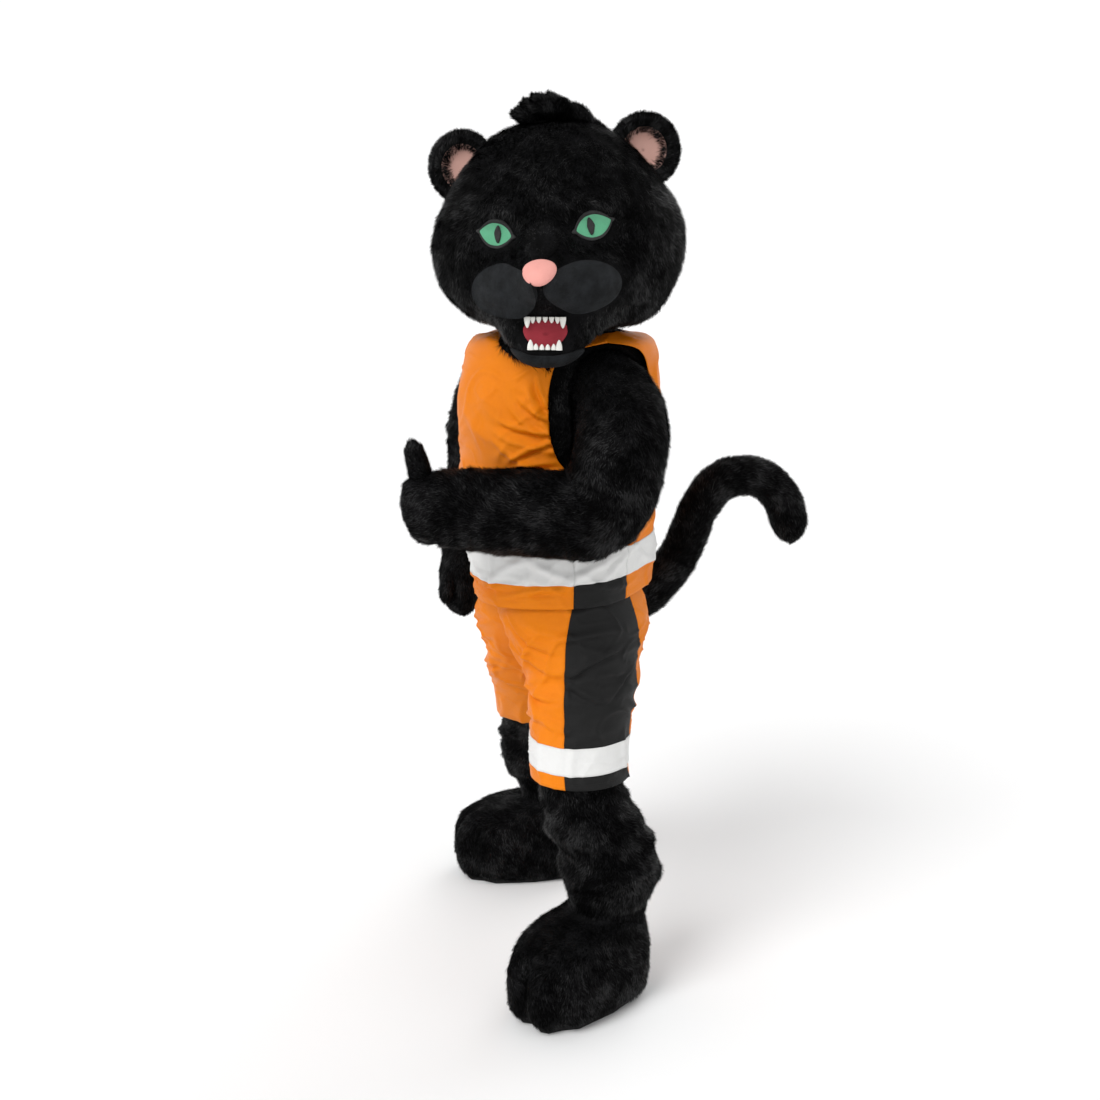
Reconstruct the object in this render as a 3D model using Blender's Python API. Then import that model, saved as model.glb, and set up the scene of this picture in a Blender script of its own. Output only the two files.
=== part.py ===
"""A panther mascot costume, worn: plush suit, foam head, jersey and shorts.

Metres, +Z up. The torso faces -Y and its left is +X. Every table below gives heights above the
floor. One empty lowers the whole costume, so that the origin is the neck base.
Angles round the body are measured from the front (-Y) towards the left (+X).
"""

import math

import bmesh
import bpy
import numpy as np

NECK_HEIGHT = 1.50
SEAM = 0.00015  # each sewn piece stops this far short of its seam line
LIFT = 0.0003  # between a piece and what lies on it
PLUSH = 0.003
SATIN = 0.0015
BAND = 0.0012
FOAM = 0.012
BOOT_FOAM = 0.008
HEAD_TURN = math.radians(52)
HEAD_ROLL = math.radians(-5)
HEAD_FORWARD = 0.020

for old in list(bpy.data.objects):
    bpy.data.objects.remove(old, do_unlink=True)
costume = bpy.data.collections.new("panther_mascot_costume")
helpers = bpy.data.collections.new("cutters")
helpers.hide_render = True
for group in (costume, helpers):
    bpy.context.scene.collection.children.link(group)
stand = bpy.data.objects.new("neck_base", None)
stand.location = (0, 0, -NECK_HEIGHT)
costume.objects.link(stand)

COLOURS = {
    "plush": (0.012, 0.012, 0.014, 1),
    "fleece": (0.030, 0.034, 0.042, 1),
    "pink": (0.80, 0.42, 0.38, 1),
    "green": (0.05, 0.32, 0.14, 1),
    "mesh": (0.06, 0.06, 0.07, 1),
    "white": (0.82, 0.82, 0.80, 1),
    "red": (0.30, 0.02, 0.03, 1),
    "orange": (0.86, 0.27, 0.02, 1),
    "black": (0.015, 0.015, 0.017, 1),
    "rubber": (0.02, 0.02, 0.02, 1),
}


# Numbers to surfaces.


def smooth(at, table):
    """Columns 1.. of the table at places `at` of column 0, by cubics that never overshoot."""
    table = np.asarray(table, float)
    knots, values = table[:, 0], table[:, 1:]
    steps = np.diff(knots)[:, None]
    rise = np.diff(values, axis=0) / steps
    slopes = np.zeros_like(values)
    product = rise[1:] * rise[:-1]
    total = np.where(np.abs(rise[1:] + rise[:-1]) < 1e-12, 1.0, rise[1:] + rise[:-1])
    slopes[1:-1] = np.where(product > 0, 2 * product / total, 0.0)
    slopes[0], slopes[-1] = rise[0], rise[-1]
    at = np.clip(np.asarray(at, float), knots[0], knots[-1])
    index = np.clip(np.searchsorted(knots, at, "right") - 1, 0, len(knots) - 2)
    step = steps[index]
    t = ((at - knots[index]) / step[..., 0])[..., None]
    low, high = values[index], values[index + 1]
    return (
        (1 + 2 * t) * (1 - t) ** 2 * low
        + t * (1 - t) ** 2 * step * slopes[index]
        + t * t * (3 - 2 * t) * high
        + t * t * (t - 1) * step * slopes[index + 1]
    )


def path(at, table):
    """Columns 1.. of the table at places `at`, by cubics through every row."""
    table = np.asarray(table, float)
    knots, values = table[:, 0], table[:, 1:]
    slopes = np.gradient(values, knots, axis=0)
    at = np.clip(np.asarray(at, float), knots[0], knots[-1])
    index = np.clip(np.searchsorted(knots, at, "right") - 1, 0, len(knots) - 2)
    step = (knots[index + 1] - knots[index])[..., None]
    t = (at - knots[index])[..., None] / step
    return (
        (1 + 2 * t) * (1 - t) ** 2 * values[index]
        + t * (1 - t) ** 2 * step * slopes[index]
        + t * t * (3 - 2 * t) * values[index + 1]
        + t * t * (t - 1) * step * slopes[index + 1]
    )


def folds(around, up, rows):
    """Heights of soft folds. Rows: around and up (metres), direction (degrees from level),
    half length, half width, depth."""
    height = np.zeros(np.broadcast(around, up).shape)
    for place, level, turn, length, width, depth in rows:
        c, s = math.cos(math.radians(turn)), math.sin(math.radians(turn))
        a, b = around - place, up - level
        along, across = a * c + b * s, b * c - a * s
        bend = across + 0.12 * along**2 / length
        height = height + depth * np.exp(-((bend / width) ** 2) - (along / length) ** 4)
    return height


def normals(surface, u, v, side=1):
    """Outward unit normals of surface(u, v)."""
    e = 1e-4
    n = np.cross(
        surface(u + e, v) - surface(u - e, v), surface(u, v + e) - surface(u, v - e)
    )
    size = np.linalg.norm(n, axis=-1, keepdims=True)
    return side * n / np.where(size < 1e-15, 1, size)


def outward(surface, u, v, side=1, at=None):
    """The points of a grid and their normals, made one where a row is a single point."""
    points, n = surface(u, v), normals(surface, u, v if at is None else at, side)
    for row, near in ((0, 1), (len(points) - 1, -2)):
        if np.ptp(points[row], axis=0).max() < 1e-6:
            middle = n[near].mean(axis=0)
            n[row] = middle / np.linalg.norm(middle)
    return points, n


def fade(value, low, high):
    t = np.clip((value - low) / (high - low), 0, 1)
    return t * t * (3 - 2 * t)


# Surfaces to objects.


def material(kind):
    made = bpy.data.materials.new(kind)
    made.use_nodes = True
    shader = made.node_tree.nodes["Principled BSDF"]
    shader.inputs["Base Color"].default_value = COLOURS[kind]
    shader.inputs["Roughness"].default_value = 0.8
    made.diffuse_color = COLOURS[kind]
    return made


def add(name, mesh, kind, cutter=False):
    obj = bpy.data.objects.new(name, mesh)
    obj.parent = stand
    if cutter:
        obj.hide_render = True
        obj.display_type = "WIRE"
        helpers.objects.link(obj)
    else:
        mesh.materials.append(material(kind))
        costume.objects.link(obj)
    return obj


def sheet_mesh(name, outer, inner, closed=False):
    """A wall between two grids of points (rows, columns, 3), with its edges closed."""
    rows, columns = outer.shape[:2]
    flat_out, flat_in = outer.reshape(-1, 3), inner.reshape(-1, 3)
    key = np.round(flat_out / 1e-6).astype(np.int64)
    _, first, index = np.unique(key, axis=0, return_index=True, return_inverse=True)
    index = index.reshape(-1)
    count = len(first)
    share = np.bincount(index, minlength=count)[:, None]
    mean_in = np.stack(
        [np.bincount(index, flat_in[:, k], count) for k in range(3)], axis=1
    )
    points = np.concatenate([flat_out[first], mean_in / share])
    grid = index.reshape(rows, columns)
    if closed:
        grid = np.concatenate([grid, grid[:, :1]], axis=1)
    corners = np.stack(
        [grid[:-1, :-1], grid[:-1, 1:], grid[1:, 1:], grid[1:, :-1]], axis=-1
    ).reshape(-1, 4)
    faces, edges = [], {}
    for a, b, c, d in corners.tolist():
        for face in ((a, b, c), (a, c, d)):
            if len(set(face)) < 3:
                continue
            faces.append(face)
            faces.append([p + count for p in reversed(face)])
            for k, p in enumerate(face):
                edges[(face[k - 1], p)] = True
    for a, b in [(a, b) for a, b in edges if (b, a) not in edges]:
        faces += [[b, a, a + count], [b, a + count, b + count]]
    return finished(name, points, faces)


def finished(name, points, faces):
    mesh = bpy.data.meshes.new(name)
    mesh.from_pydata([tuple(p) for p in points], [], faces)
    work = bmesh.new()
    work.from_mesh(mesh)
    loose = [v for v in work.verts if not v.link_faces]
    bmesh.ops.delete(work, geom=loose, context="VERTS")
    bmesh.ops.remove_doubles(work, verts=work.verts, dist=1e-6)
    bmesh.ops.triangulate(work, faces=[f for f in work.faces if len(f.verts) > 4])
    bmesh.ops.recalc_face_normals(work, faces=work.faces)
    if work.calc_volume(signed=True) < 0:
        bmesh.ops.reverse_faces(work, faces=work.faces)
    work.to_mesh(mesh)
    work.free()
    return mesh


def wall(name, surface, u, v, thickness, kind, lift=0.0, side=1, closed=False, cutter=False):
    """The wall under surface(u, v) at the grid of places u, v, raised by lift."""
    points, n = outward(surface, u, v, side)
    mesh = sheet_mesh(name, points + n * lift, points + n * (lift - thickness), closed)
    return add(name, mesh, kind, cutter)


def stuffed(name, surface, u, v, kind, cutter=False):
    """A solid inside a closed-round surface, each end closed by a fan to its middle."""
    points = surface(u, v)
    ends = [points[k].mean(axis=0) * np.ones_like(points[k]) for k in (0, -1)]
    grid = np.concatenate([ends[0][None], points, ends[1][None]])
    rows, columns = grid.shape[:2]
    number = np.arange(rows * columns).reshape(rows, columns)
    number = np.concatenate([number, number[:, :1]], axis=1)
    a, b, c, d = number[:-1, :-1], number[:-1, 1:], number[1:, 1:], number[1:, :-1]
    faces = np.concatenate([np.stack([a, b, c], -1), np.stack([a, c, d], -1)])
    mesh = finished(name, grid.reshape(-1, 3), faces.reshape(-1, 3).tolist())
    return add(name, mesh, kind, cutter)


def places(columns, rows):
    return np.meshgrid(np.asarray(columns, float), np.asarray(rows, float))


def turns(count):
    return np.linspace(0, 2 * math.pi, count, endpoint=False)


def trimmed(surface, u, v, left=True, right=True, low=False, high=False):
    """The grid with its chosen borders moved in by SEAM, measured on the surface."""
    u, v = u.copy(), v.copy()

    def paces(a, b):
        """Metres per unit of u, and of v, measured square to the other's lines."""
        e = 1e-4
        du = (surface(a + e, b) - surface(a - e, b)) / (2 * e)
        dv = (surface(a, b + e) - surface(a, b - e)) / (2 * e)
        area = np.linalg.norm(np.cross(du, dv), axis=-1)
        return area / np.linalg.norm(dv, axis=-1), area / np.linalg.norm(du, axis=-1)

    for wanted, column, sign in ((left, 0, 1), (right, -1, -1)):
        if wanted:
            u[:, column] += sign * SEAM / paces(u[:, column], v[:, column])[0]
    for wanted, row, sign in ((low, 0, 1), (high, -1, -1)):
        if wanted:
            v[row] += sign * SEAM / paces(u[row], v[row])[1]
    return u, v


def cut(obj, *cutters, operation="DIFFERENCE"):
    for cutter in cutters:
        modifier = obj.modifiers.new(cutter.name, "BOOLEAN")
        modifier.operation = operation
        modifier.solver = "EXACT"
        modifier.object = cutter


# Torso and jersey.

# Sections of the body of the suit: place up the profile, height, half width, depth in front,
# depth behind. The last two rows are the round collar that the head turns on.
SUIT_ROWS = [
    (0.00, 0.955, 0.172, 0.165, 0.165),
    (0.18, 1.050, 0.178, 0.172, 0.172),
    (0.35, 1.150, 0.180, 0.182, 0.180),
    (0.50, 1.250, 0.180, 0.196, 0.190),
    (0.65, 1.350, 0.182, 0.204, 0.198),
    (0.76, 1.424, 0.185, 0.196, 0.192),
    (0.84, 1.466, 0.180, 0.182, 0.182),
    (0.90, 1.490, 0.158, 0.158, 0.158),
    (0.94, 1.4985, 0.130, 0.130, 0.130),
    (0.965, 1.502, 0.1125, 0.1125, 0.1125),
    (0.975, 1.506, 0.110, 0.110, 0.110),
    (1.00, 1.524, 0.110, 0.110, 0.110),
]
JERSEY_ROWS = [
    (0.00, 0.913, 0.205, 0.203, 0.200),
    (0.08, 0.967, 0.206, 0.207, 0.203),
    (0.18, 1.038, 0.203, 0.212, 0.206),
    (0.34, 1.150, 0.198, 0.218, 0.212),
    (0.50, 1.250, 0.196, 0.228, 0.220),
    (0.65, 1.350, 0.200, 0.232, 0.226),
    (0.76, 1.432, 0.203, 0.220, 0.216),
    (0.84, 1.474, 0.200, 0.204, 0.204),
    (0.876, 1.487, 0.186, 0.188, 0.188),
    (0.93, 1.4964, 0.142, 0.142, 0.142),
    (1.00, 1.4996, 0.130, 0.130, 0.130),
]
JERSEY_GIRTH = 0.21
HEM_LIFT = 0.030  # the tail holds the jersey's hem up behind

# Around and up in metres from the front middle, direction, half length, half width, depth.
JERSEY_FOLDS = [
    (0.120, 1.240, 152, 0.12, 0.022, 0.008),
    (0.090, 1.310, 126, 0.11, 0.022, 0.007),
    (0.050, 1.170, 170, 0.13, 0.024, 0.007),
    (-0.070, 1.340, 62, 0.13, 0.028, 0.006),
    (-0.130, 1.180, 20, 0.12, 0.026, 0.006),
    (0.000, 1.080, 3, 0.15, 0.022, 0.005),
    (0.280, 1.110, 160, 0.10, 0.024, 0.006),
    (-0.300, 1.110, 24, 0.12, 0.024, 0.006),
    (0.520, 1.180, 170, 0.12, 0.026, 0.007),
    (-0.520, 1.230, 14, 0.13, 0.026, 0.007),
    (0.610, 1.090, 6, 0.13, 0.024, 0.006),
    (0.450, 1.330, 70, 0.12, 0.028, 0.006),
    (-0.440, 1.340, 112, 0.12, 0.028, 0.006),
]


def ring(u, half, front, back):
    depth = (front + back) / 2 + (front - back) / 2 * np.cos(u)
    reach = 1 / np.hypot(np.sin(u) / half, np.cos(u) / depth)
    return reach * np.sin(u), -reach * np.cos(u)


def suit_body(u, w):
    z, half, front, back = np.moveaxis(smooth(w, SUIT_ROWS), -1, 0)
    x, y = ring(u, half, front, back)
    return np.stack([x, y, z], axis=-1)


def wrapped(u):
    return (u + math.pi) % (2 * math.pi) - math.pi


def jersey(u, w):
    z, half, front, back = np.moveaxis(smooth(w, JERSEY_ROWS), -1, 0)
    girth = wrapped(u) * JERSEY_GIRTH
    loose = 1 - fade(w, 0.72, 0.86)
    swell = folds(girth, z, JERSEY_FOLDS) * loose
    flare = 0.006 * np.sin(5 * u + 0.6) * (1 - fade(w, 0.0, 0.30))
    x, y = ring(u, half + swell + flare, front + swell + flare, back + swell + flare)
    z = z + HEM_LIFT * (1 - np.cos(u)) / 2 * (1 - fade(w, 0.05, 0.40))
    return np.stack([x, y, z], axis=-1)


SIDE_FRONT, SIDE_BACK = math.radians(66), math.radians(102)
# How far round each edge of the jersey's body runs, in degrees, at places up the profile.
FRONT_EDGE = [
    (0.00, 66), (0.42, 66), (0.455, 62), (0.50, 56), (0.58, 52), (0.68, 51), (0.77, 54),
    (0.82, 60), (0.855, 70), (0.872, 82), (0.876, 90), (1.00, 90),
]
BACK_EDGE = [
    (0.00, 102), (0.42, 102), (0.455, 108), (0.50, 116), (0.58, 122), (0.68, 124),
    (0.77, 121), (0.82, 115), (0.855, 106), (0.872, 97), (0.876, 90), (1.00, 90),
]
JERSEY_LEVELS = [0.0, 0.08, 0.18, 0.26, 0.34, 0.42, 0.455, 0.50, 0.58, 0.68, 0.77, 0.82, 0.855,
                 0.876, 0.93, 1.0]
SIDE_LEVELS = JERSEY_LEVELS[:6]
BAND_LEVELS = JERSEY_LEVELS[1:3]
ARMHOLE_DIP = 0.045


def jersey_front(columns, levels):
    a, w = places(columns, levels)
    edge = np.radians(smooth(w, FRONT_EDGE)[..., 0])
    return a * edge, w


def jersey_back(columns, levels):
    a, w = places(columns, levels)
    edge = np.radians(smooth(w, BACK_EDGE)[..., 0])
    return math.pi + a * (math.pi - edge), w


def jersey_side(columns, levels, sign):
    a, w = places(columns, levels)
    u = SIDE_FRONT + (SIDE_BACK - SIDE_FRONT) * a
    dip = ARMHOLE_DIP * np.sin(math.pi * a) * fade(w, 0.30, 0.42)
    return (u if sign > 0 else -u[:, ::-1]), (w - dip if sign > 0 else (w - dip)[:, ::-1])


FRONT_COLUMNS = np.linspace(-1, 1, 15)
BACK_COLUMNS = np.linspace(-1, 1, 12)
SIDE_COLUMNS = np.linspace(0, 1, 4)

half_turn = math.pi / 2
body_levels = [0.0, 0.25, 0.47, 0.66, 0.80, 0.90, 0.965, 0.975, 1.0]
suit_front = wall("suit_front", suit_body,
                  *trimmed(suit_body, *places(FRONT_COLUMNS * half_turn, body_levels), low=True),
                  PLUSH, "plush")
suit_back = wall("suit_back", suit_body,
                 *trimmed(suit_body, *places(BACK_COLUMNS * half_turn + math.pi, body_levels), low=True),
                 PLUSH, "plush")

front_grid = trimmed(jersey, *jersey_front(FRONT_COLUMNS, JERSEY_LEVELS))
wall("jersey_front", jersey, *front_grid, SATIN, "orange")
back_grid = trimmed(jersey, *jersey_back(BACK_COLUMNS, JERSEY_LEVELS))
wall("jersey_back", jersey, *back_grid, SATIN, "orange")
wall("jersey_band_front", jersey, *(g[1:3] for g in front_grid), BAND, "white", LIFT + BAND)
wall("jersey_band_back", jersey, *(g[1:3] for g in back_grid), BAND, "white", LIFT + BAND)
for label, sign in (("left", 1), ("right", -1)):
    grid = trimmed(jersey, *jersey_side(SIDE_COLUMNS, SIDE_LEVELS, sign))
    wall(f"jersey_side_{label}", jersey, *grid, SATIN, "black")
    wall(f"jersey_band_{label}", jersey, *(g[1:3] for g in grid), BAND, "white", LIFT + BAND)


# The head's fur flap lies on the jersey below the chin: place up the jersey's profile, then the
# degrees round at which the flap begins and ends.
FLAP_EDGES = [
    (0.775, 44.0, 51.0), (0.80, 34.0, 54.0), (0.84, 22.0, 58.0), (0.876, 14.0, 60.0),
    (0.93, 5.0, 62.0), (0.985, -4.0, 62.0),
]


def flap(a, w):
    start, end = np.moveaxis(np.radians(smooth(w, FLAP_EDGES)), -1, 0)
    return jersey(start + a * (end - start), w)


wall("neck_flap", flap, *places(np.linspace(0, 1, 9), [row[0] for row in FLAP_EDGES]), PLUSH,
     "plush", LIFT + PLUSH + 0.0023)

# Sleeves and mitts.


def tube(table, side_axis, relief=None):
    """surface(u, t) round a path. Rows: place, x, y, z, radius across, radius along."""
    axis = np.asarray(side_axis, float) / np.linalg.norm(side_axis)

    def surface(u, t):
        centre, radii = path(t, table)[..., :3], smooth(t, table)[..., 3:]
        across, along = radii[..., :1], radii[..., 1:]
        e = 1e-3
        ahead = path(t + e, table)[..., :3] - path(t - e, table)[..., :3]
        ahead = ahead / np.linalg.norm(ahead, axis=-1, keepdims=True)
        beside = axis - ahead * (ahead @ axis)[..., None]
        beside = beside / np.linalg.norm(beside, axis=-1, keepdims=True)
        over = np.cross(ahead, beside)
        extra = 0.0 if relief is None else relief(u, t)[..., None]
        return (
            centre
            + beside * (across + extra) * np.cos(u)[..., None]
            + over * (along + extra) * np.sin(u)[..., None]
        )

    return surface


# Place, x, y, z, radius square to the bend, radius in the bend.
LEFT_ARM = [
    (0.00, 0.150, 0.000, 1.402, 0.074, 0.070),
    (0.08, 0.203, -0.008, 1.390, 0.084, 0.084),
    (0.18, 0.262, -0.022, 1.348, 0.090, 0.095),
    (0.26, 0.298, -0.040, 1.302, 0.090, 0.097),
    (0.34, 0.311, -0.057, 1.253, 0.090, 0.096),
    (0.42, 0.308, -0.070, 1.203, 0.088, 0.097),
    (0.51, 0.286, -0.101, 1.160, 0.085, 0.096),
    (0.60, 0.254, -0.148, 1.150, 0.082, 0.090),
    (0.71, 0.211, -0.210, 1.152, 0.080, 0.089),
    (0.82, 0.167, -0.273, 1.155, 0.077, 0.087),
    (0.93, 0.1245, -0.3326, 1.158, 0.070, 0.081),
    (1.00, 0.107, -0.357, 1.159, 0.070, 0.081),
]
RIGHT_ARM = [
    (0.00, -0.150, 0.000, 1.402, 0.074, 0.070),
    (0.14, -0.200, -0.004, 1.390, 0.086, 0.084),
    (0.30, -0.262, -0.010, 1.345, 0.094, 0.092),
    (0.46, -0.298, -0.018, 1.262, 0.094, 0.092),
    (0.62, -0.308, -0.030, 1.150, 0.086, 0.088),
    (0.78, -0.304, -0.056, 1.050, 0.074, 0.080),
    (0.93, -0.2971, -0.0795, 0.978, 0.060, 0.068),
    (1.00, -0.294, -0.090, 0.950, 0.060, 0.068),
]
LEFT_AXIS, RIGHT_AXIS = (0.812, -0.584, 0.0), (0.0, -1.0, 0.0)


def arm_folds(rows):
    """Rows: angle round in degrees, place, half turn in degrees, half place, depth."""

    def relief(u, t):
        height = 0.0 * u
        for angle, place, spread, width, depth in rows:
            off = np.degrees(np.abs(wrapped(u - math.radians(angle)))) / spread
            height = height + depth * np.exp(-(off**2) - ((t - place) / width) ** 2)
        return height

    return relief


LEFT_FOLDS = [
    (200, 0.47, 60, 0.030, 0.008), (250, 0.55, 70, 0.030, 0.008), (20, 0.64, 70, 0.028, 0.006),
    (200, 0.78, 80, 0.030, 0.006), (60, 0.70, 70, 0.030, 0.005), (180, 0.28, 70, 0.035, 0.006),
]
RIGHT_FOLDS = [
    (60, 0.50, 70, 0.035, 0.006), (-120, 0.60, 70, 0.035, 0.006), (20, 0.70, 80, 0.032, 0.007),
    (150, 0.81, 80, 0.030, 0.006),
]
left_sleeve = tube(LEFT_ARM, LEFT_AXIS, arm_folds(LEFT_FOLDS))
right_sleeve = tube(RIGHT_ARM, RIGHT_AXIS, arm_folds(RIGHT_FOLDS))
arm_turns = turns(16)
left_levels = np.linspace(0, 1, 15)
right_levels = np.linspace(0, 1, 11)
wall("sleeve_left", left_sleeve, *places(arm_turns, left_levels), PLUSH, "plush",
     closed=True)
wall("sleeve_right", right_sleeve, *places(arm_turns, right_levels), PLUSH, "plush",
     closed=True)


def widened(surface, by, side=1):
    def wider(u, t):
        return surface(u, t) + normals(surface, u, t, side) * by

    return wider


for label, sleeve, levels in (
    ("left", left_sleeve, left_levels), ("right", right_sleeve, right_levels),
):
    hole = stuffed(f"armhole_{label}", widened(sleeve, LIFT), *places(arm_turns, levels[:7]),
                   "plush", cutter=True)
    cut(suit_front, hole)
    cut(suit_back, hole)

# The mitts start inside the cuffs. Rows as for the arms.
LEFT_MITT = [
    (0.00, 0.1245, -0.3326, 1.158, 0.0667, 0.0777),
    (0.25, 0.107, -0.357, 1.159, 0.0667, 0.0777),
    (0.42, 0.0953, -0.3732, 1.157, 0.062, 0.073),
    (0.62, 0.0807, -0.3935, 1.151, 0.057, 0.072),
    (0.80, 0.0708, -0.4073, 1.146, 0.047, 0.062),
    (0.94, 0.0638, -0.4171, 1.143, 0.026, 0.036),
    (1.00, 0.0615, -0.4203, 1.142, 1e-8, 1e-8),
]
RIGHT_MITT = [
    (0.00, -0.2971, -0.0795, 0.978, 0.0567, 0.0647),
    (0.18, -0.294, -0.090, 0.950, 0.0567, 0.0647),
    (0.34, -0.291, -0.100, 0.925, 0.050, 0.058),
    (0.55, -0.289, -0.110, 0.890, 0.048, 0.060),
    (0.78, -0.288, -0.112, 0.850, 0.044, 0.058),
    (0.92, -0.290, -0.106, 0.820, 0.032, 0.044),
    (0.98, -0.291, -0.102, 0.805, 0.016, 0.022),
    (1.00, -0.291, -0.101, 0.800, 1e-8, 1e-8),
]


def fingers(angles, start, depth):
    """Creases between the fingers: angles round in degrees, from a place along the mitt."""

    def relief(u, t):
        height = 0.0 * u
        for angle in angles:
            off = np.degrees(wrapped(u - math.radians(angle))) / 11
            height = height - depth * np.exp(-(off**2)) * fade(t, start, start + 0.2)
        return height * (1 - fade(t, 0.90, 1.0))

    return relief


left_mitt = tube(LEFT_MITT, LEFT_AXIS, fingers((-60, -20, 20), 0.45, 0.008))
right_mitt = tube(RIGHT_MITT, RIGHT_AXIS, fingers((-35, 0, 35), 0.50, 0.007))
mitt_levels = [0, 0.20, 0.38, 0.56, 0.74, 0.88, 0.96, 1.0]
glove_left = wall("glove_left", left_mitt, *places(arm_turns, mitt_levels), PLUSH, "plush",
                  closed=True)
glove_right = wall("glove_right", right_mitt, *places(arm_turns, mitt_levels), PLUSH, "plush",
                   closed=True)
LEFT_THUMB = [
    (0.0, 0.086, -0.385, 1.202, 0.022, 0.024),
    (0.4, 0.080, -0.392, 1.240, 0.022, 0.024),
    (0.8, 0.074, -0.400, 1.280, 0.019, 0.021),
    (1.0, 0.071, -0.404, 1.299, 0.008, 0.009),
]
RIGHT_THUMB = [
    (0.0, -0.270, -0.145, 0.905, 0.018, 0.018),
    (0.4, -0.262, -0.158, 0.880, 0.019, 0.019),
    (0.8, -0.258, -0.162, 0.855, 0.016, 0.016),
    (1.0, -0.258, -0.162, 0.842, 0.007, 0.007),
]
for glove, table in ((glove_left, LEFT_THUMB), (glove_right, RIGHT_THUMB)):
    thumb = stuffed(glove.name + "_thumb", tube(table, (1.0, 0.0, 0.0)),
                    *places(turns(8), np.linspace(0, 1, 5)), "plush", cutter=True)
    cut(glove, thumb, operation="UNION")


# Legs and shorts.

# Place, share of the seat (1 waist, 0 a round leg), height at the side, height at the
# middle seam, half width, half depth, distance of its inside from the middle.
LEG_ROWS = [
    (0.00, 1.00, 0.955, 0.955, 0.172, 0.165, 0.0),
    (0.10, 0.78, 0.905, 0.885, 0.136, 0.160, 0.0),
    (0.20, 0.52, 0.855, 0.822, 0.110, 0.148, 0.0),
    (0.29, 0.25, 0.810, 0.775, 0.097, 0.128, 0.0),
    (0.36, 0.00, 0.775, 0.755, 0.092, 0.112, 0.0),
    (0.45, 0.00, 0.700, 0.690, 0.089, 0.104, 0.012),
    (0.58, 0.00, 0.590, 0.590, 0.088, 0.095, 0.014),
    (0.66, 0.00, 0.520, 0.520, 0.090, 0.092, 0.014),
    (0.76, 0.00, 0.420, 0.420, 0.098, 0.098, 0.010),
    (0.86, 0.00, 0.320, 0.320, 0.104, 0.104, 0.004),
    (0.93, 0.00, 0.262, 0.262, 0.098, 0.098, 0.0),
    (1.00, 0.00, 0.222, 0.222, 0.088, 0.088, 0.0),
]
SHORTS_ROWS = [
    (0.00, 1.00, 0.953, 0.953, 0.1748, 0.1678, 0.0),
    (0.05, 0.97, 0.938, 0.938, 0.1720, 0.1720, 0.0),
    (0.20, 0.78, 0.890, 0.880, 0.1430, 0.1740, 0.0),
    (0.34, 0.50, 0.845, 0.805, 0.1160, 0.1620, 0.0),
    (0.46, 0.24, 0.800, 0.750, 0.1040, 0.1400, 0.0),
    (0.54, 0.00, 0.758, 0.725, 0.1020, 0.1250, 0.0),
    (0.70, 0.00, 0.680, 0.672, 0.1040, 0.1180, 0.0),
    (0.84, 0.00, 0.618, 0.618, 0.1060, 0.1130, 0.0),
    (0.95, 0.00, 0.560, 0.560, 0.1080, 0.1110, 0.0),
    (1.00, 0.00, 0.530, 0.530, 0.1090, 0.1110, 0.0),
]
# Height, then how far the leg's middle stands from its place under the hip.
LEFT_STANCE = [
    (0.10, 0.107, 0.006), (0.245, 0.107, 0.006), (0.32, 0.090, 0.006), (0.42, 0.070, -0.022),
    (0.53, 0.050, -0.048), (0.66, 0.024, -0.026), (0.76, 0.004, -0.004), (0.84, 0.0, 0.0),
]
RIGHT_STANCE = [
    (0.10, -0.325, 0.237), (0.245, -0.325, 0.237), (0.32, -0.276, 0.198), (0.42, -0.216, 0.145),
    (0.53, -0.146, 0.096), (0.66, -0.066, 0.040), (0.76, -0.010, 0.006), (0.84, 0.0, 0.0),
]


def trouser(rows, stance, sign, relief=None):
    """surface(p, t): p runs round one leg, from the front middle seam by the side to the back."""

    def surface(p, t):
        seat, side_z, seam_z, half, depth, off = np.moveaxis(smooth(t, rows), -1, 0)
        turn = p * (1 - seat / 2)
        near = (np.abs(p) / math.pi) ** 2
        z = side_z * (1 - near) + seam_z * near
        extra = 0.0 if relief is None else relief(p * sign, z, t)
        centre = half * np.cos(math.pi * seat / 2) + SEAM + off
        squeeze = 1 - fade(np.abs(p), 2.2, math.pi)
        x = centre + (half + extra * squeeze) * np.cos(turn)
        y = (depth + extra) * np.sin(turn)
        shift = smooth(z, stance)
        return np.stack([sign * x + shift[..., 0], y + shift[..., 1], z], axis=-1)

    return surface


# Angle round in degrees (side 0, front -), height, direction, half length, half width, depth.
LEG_FOLDS = [
    (0, 0.440, 4, 0.18, 0.026, 0.008), (30, 0.385, 174, 0.17, 0.024, 0.010),
    (-40, 0.335, 8, 0.16, 0.024, 0.010), (60, 0.290, 172, 0.17, 0.022, 0.010),
    (160, 0.350, 6, 0.14, 0.024, 0.008), (-130, 0.410, 172, 0.14, 0.024, 0.008),
]
SHORTS_FOLDS = [
    (-70, 0.700, 18, 0.11, 0.022, 0.007), (-110, 0.755, 150, 0.11, 0.022, 0.008),
    (-30, 0.800, 8, 0.12, 0.022, 0.006), (10, 0.725, 174, 0.12, 0.022, 0.006),
    (96, 0.760, 20, 0.10, 0.024, 0.007), (120, 0.690, 160, 0.11, 0.024, 0.008),
]


def leg_folds(rows, radius, other):
    def relief(p, z, t):
        rows_here = [
            (math.radians(a * other) * radius, h, d if other > 0 else 180 - d, length, width, depth)
            for a, h, d, length, width, depth in rows
        ]
        return folds(p * radius, z, rows_here)

    return relief


def shorts_relief(other):
    ease = leg_folds(SHORTS_FOLDS, 0.11, other)

    def relief(p, z, t):
        return ease(p, z, t) * fade(t, 0.02, 0.10)

    return relief


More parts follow.
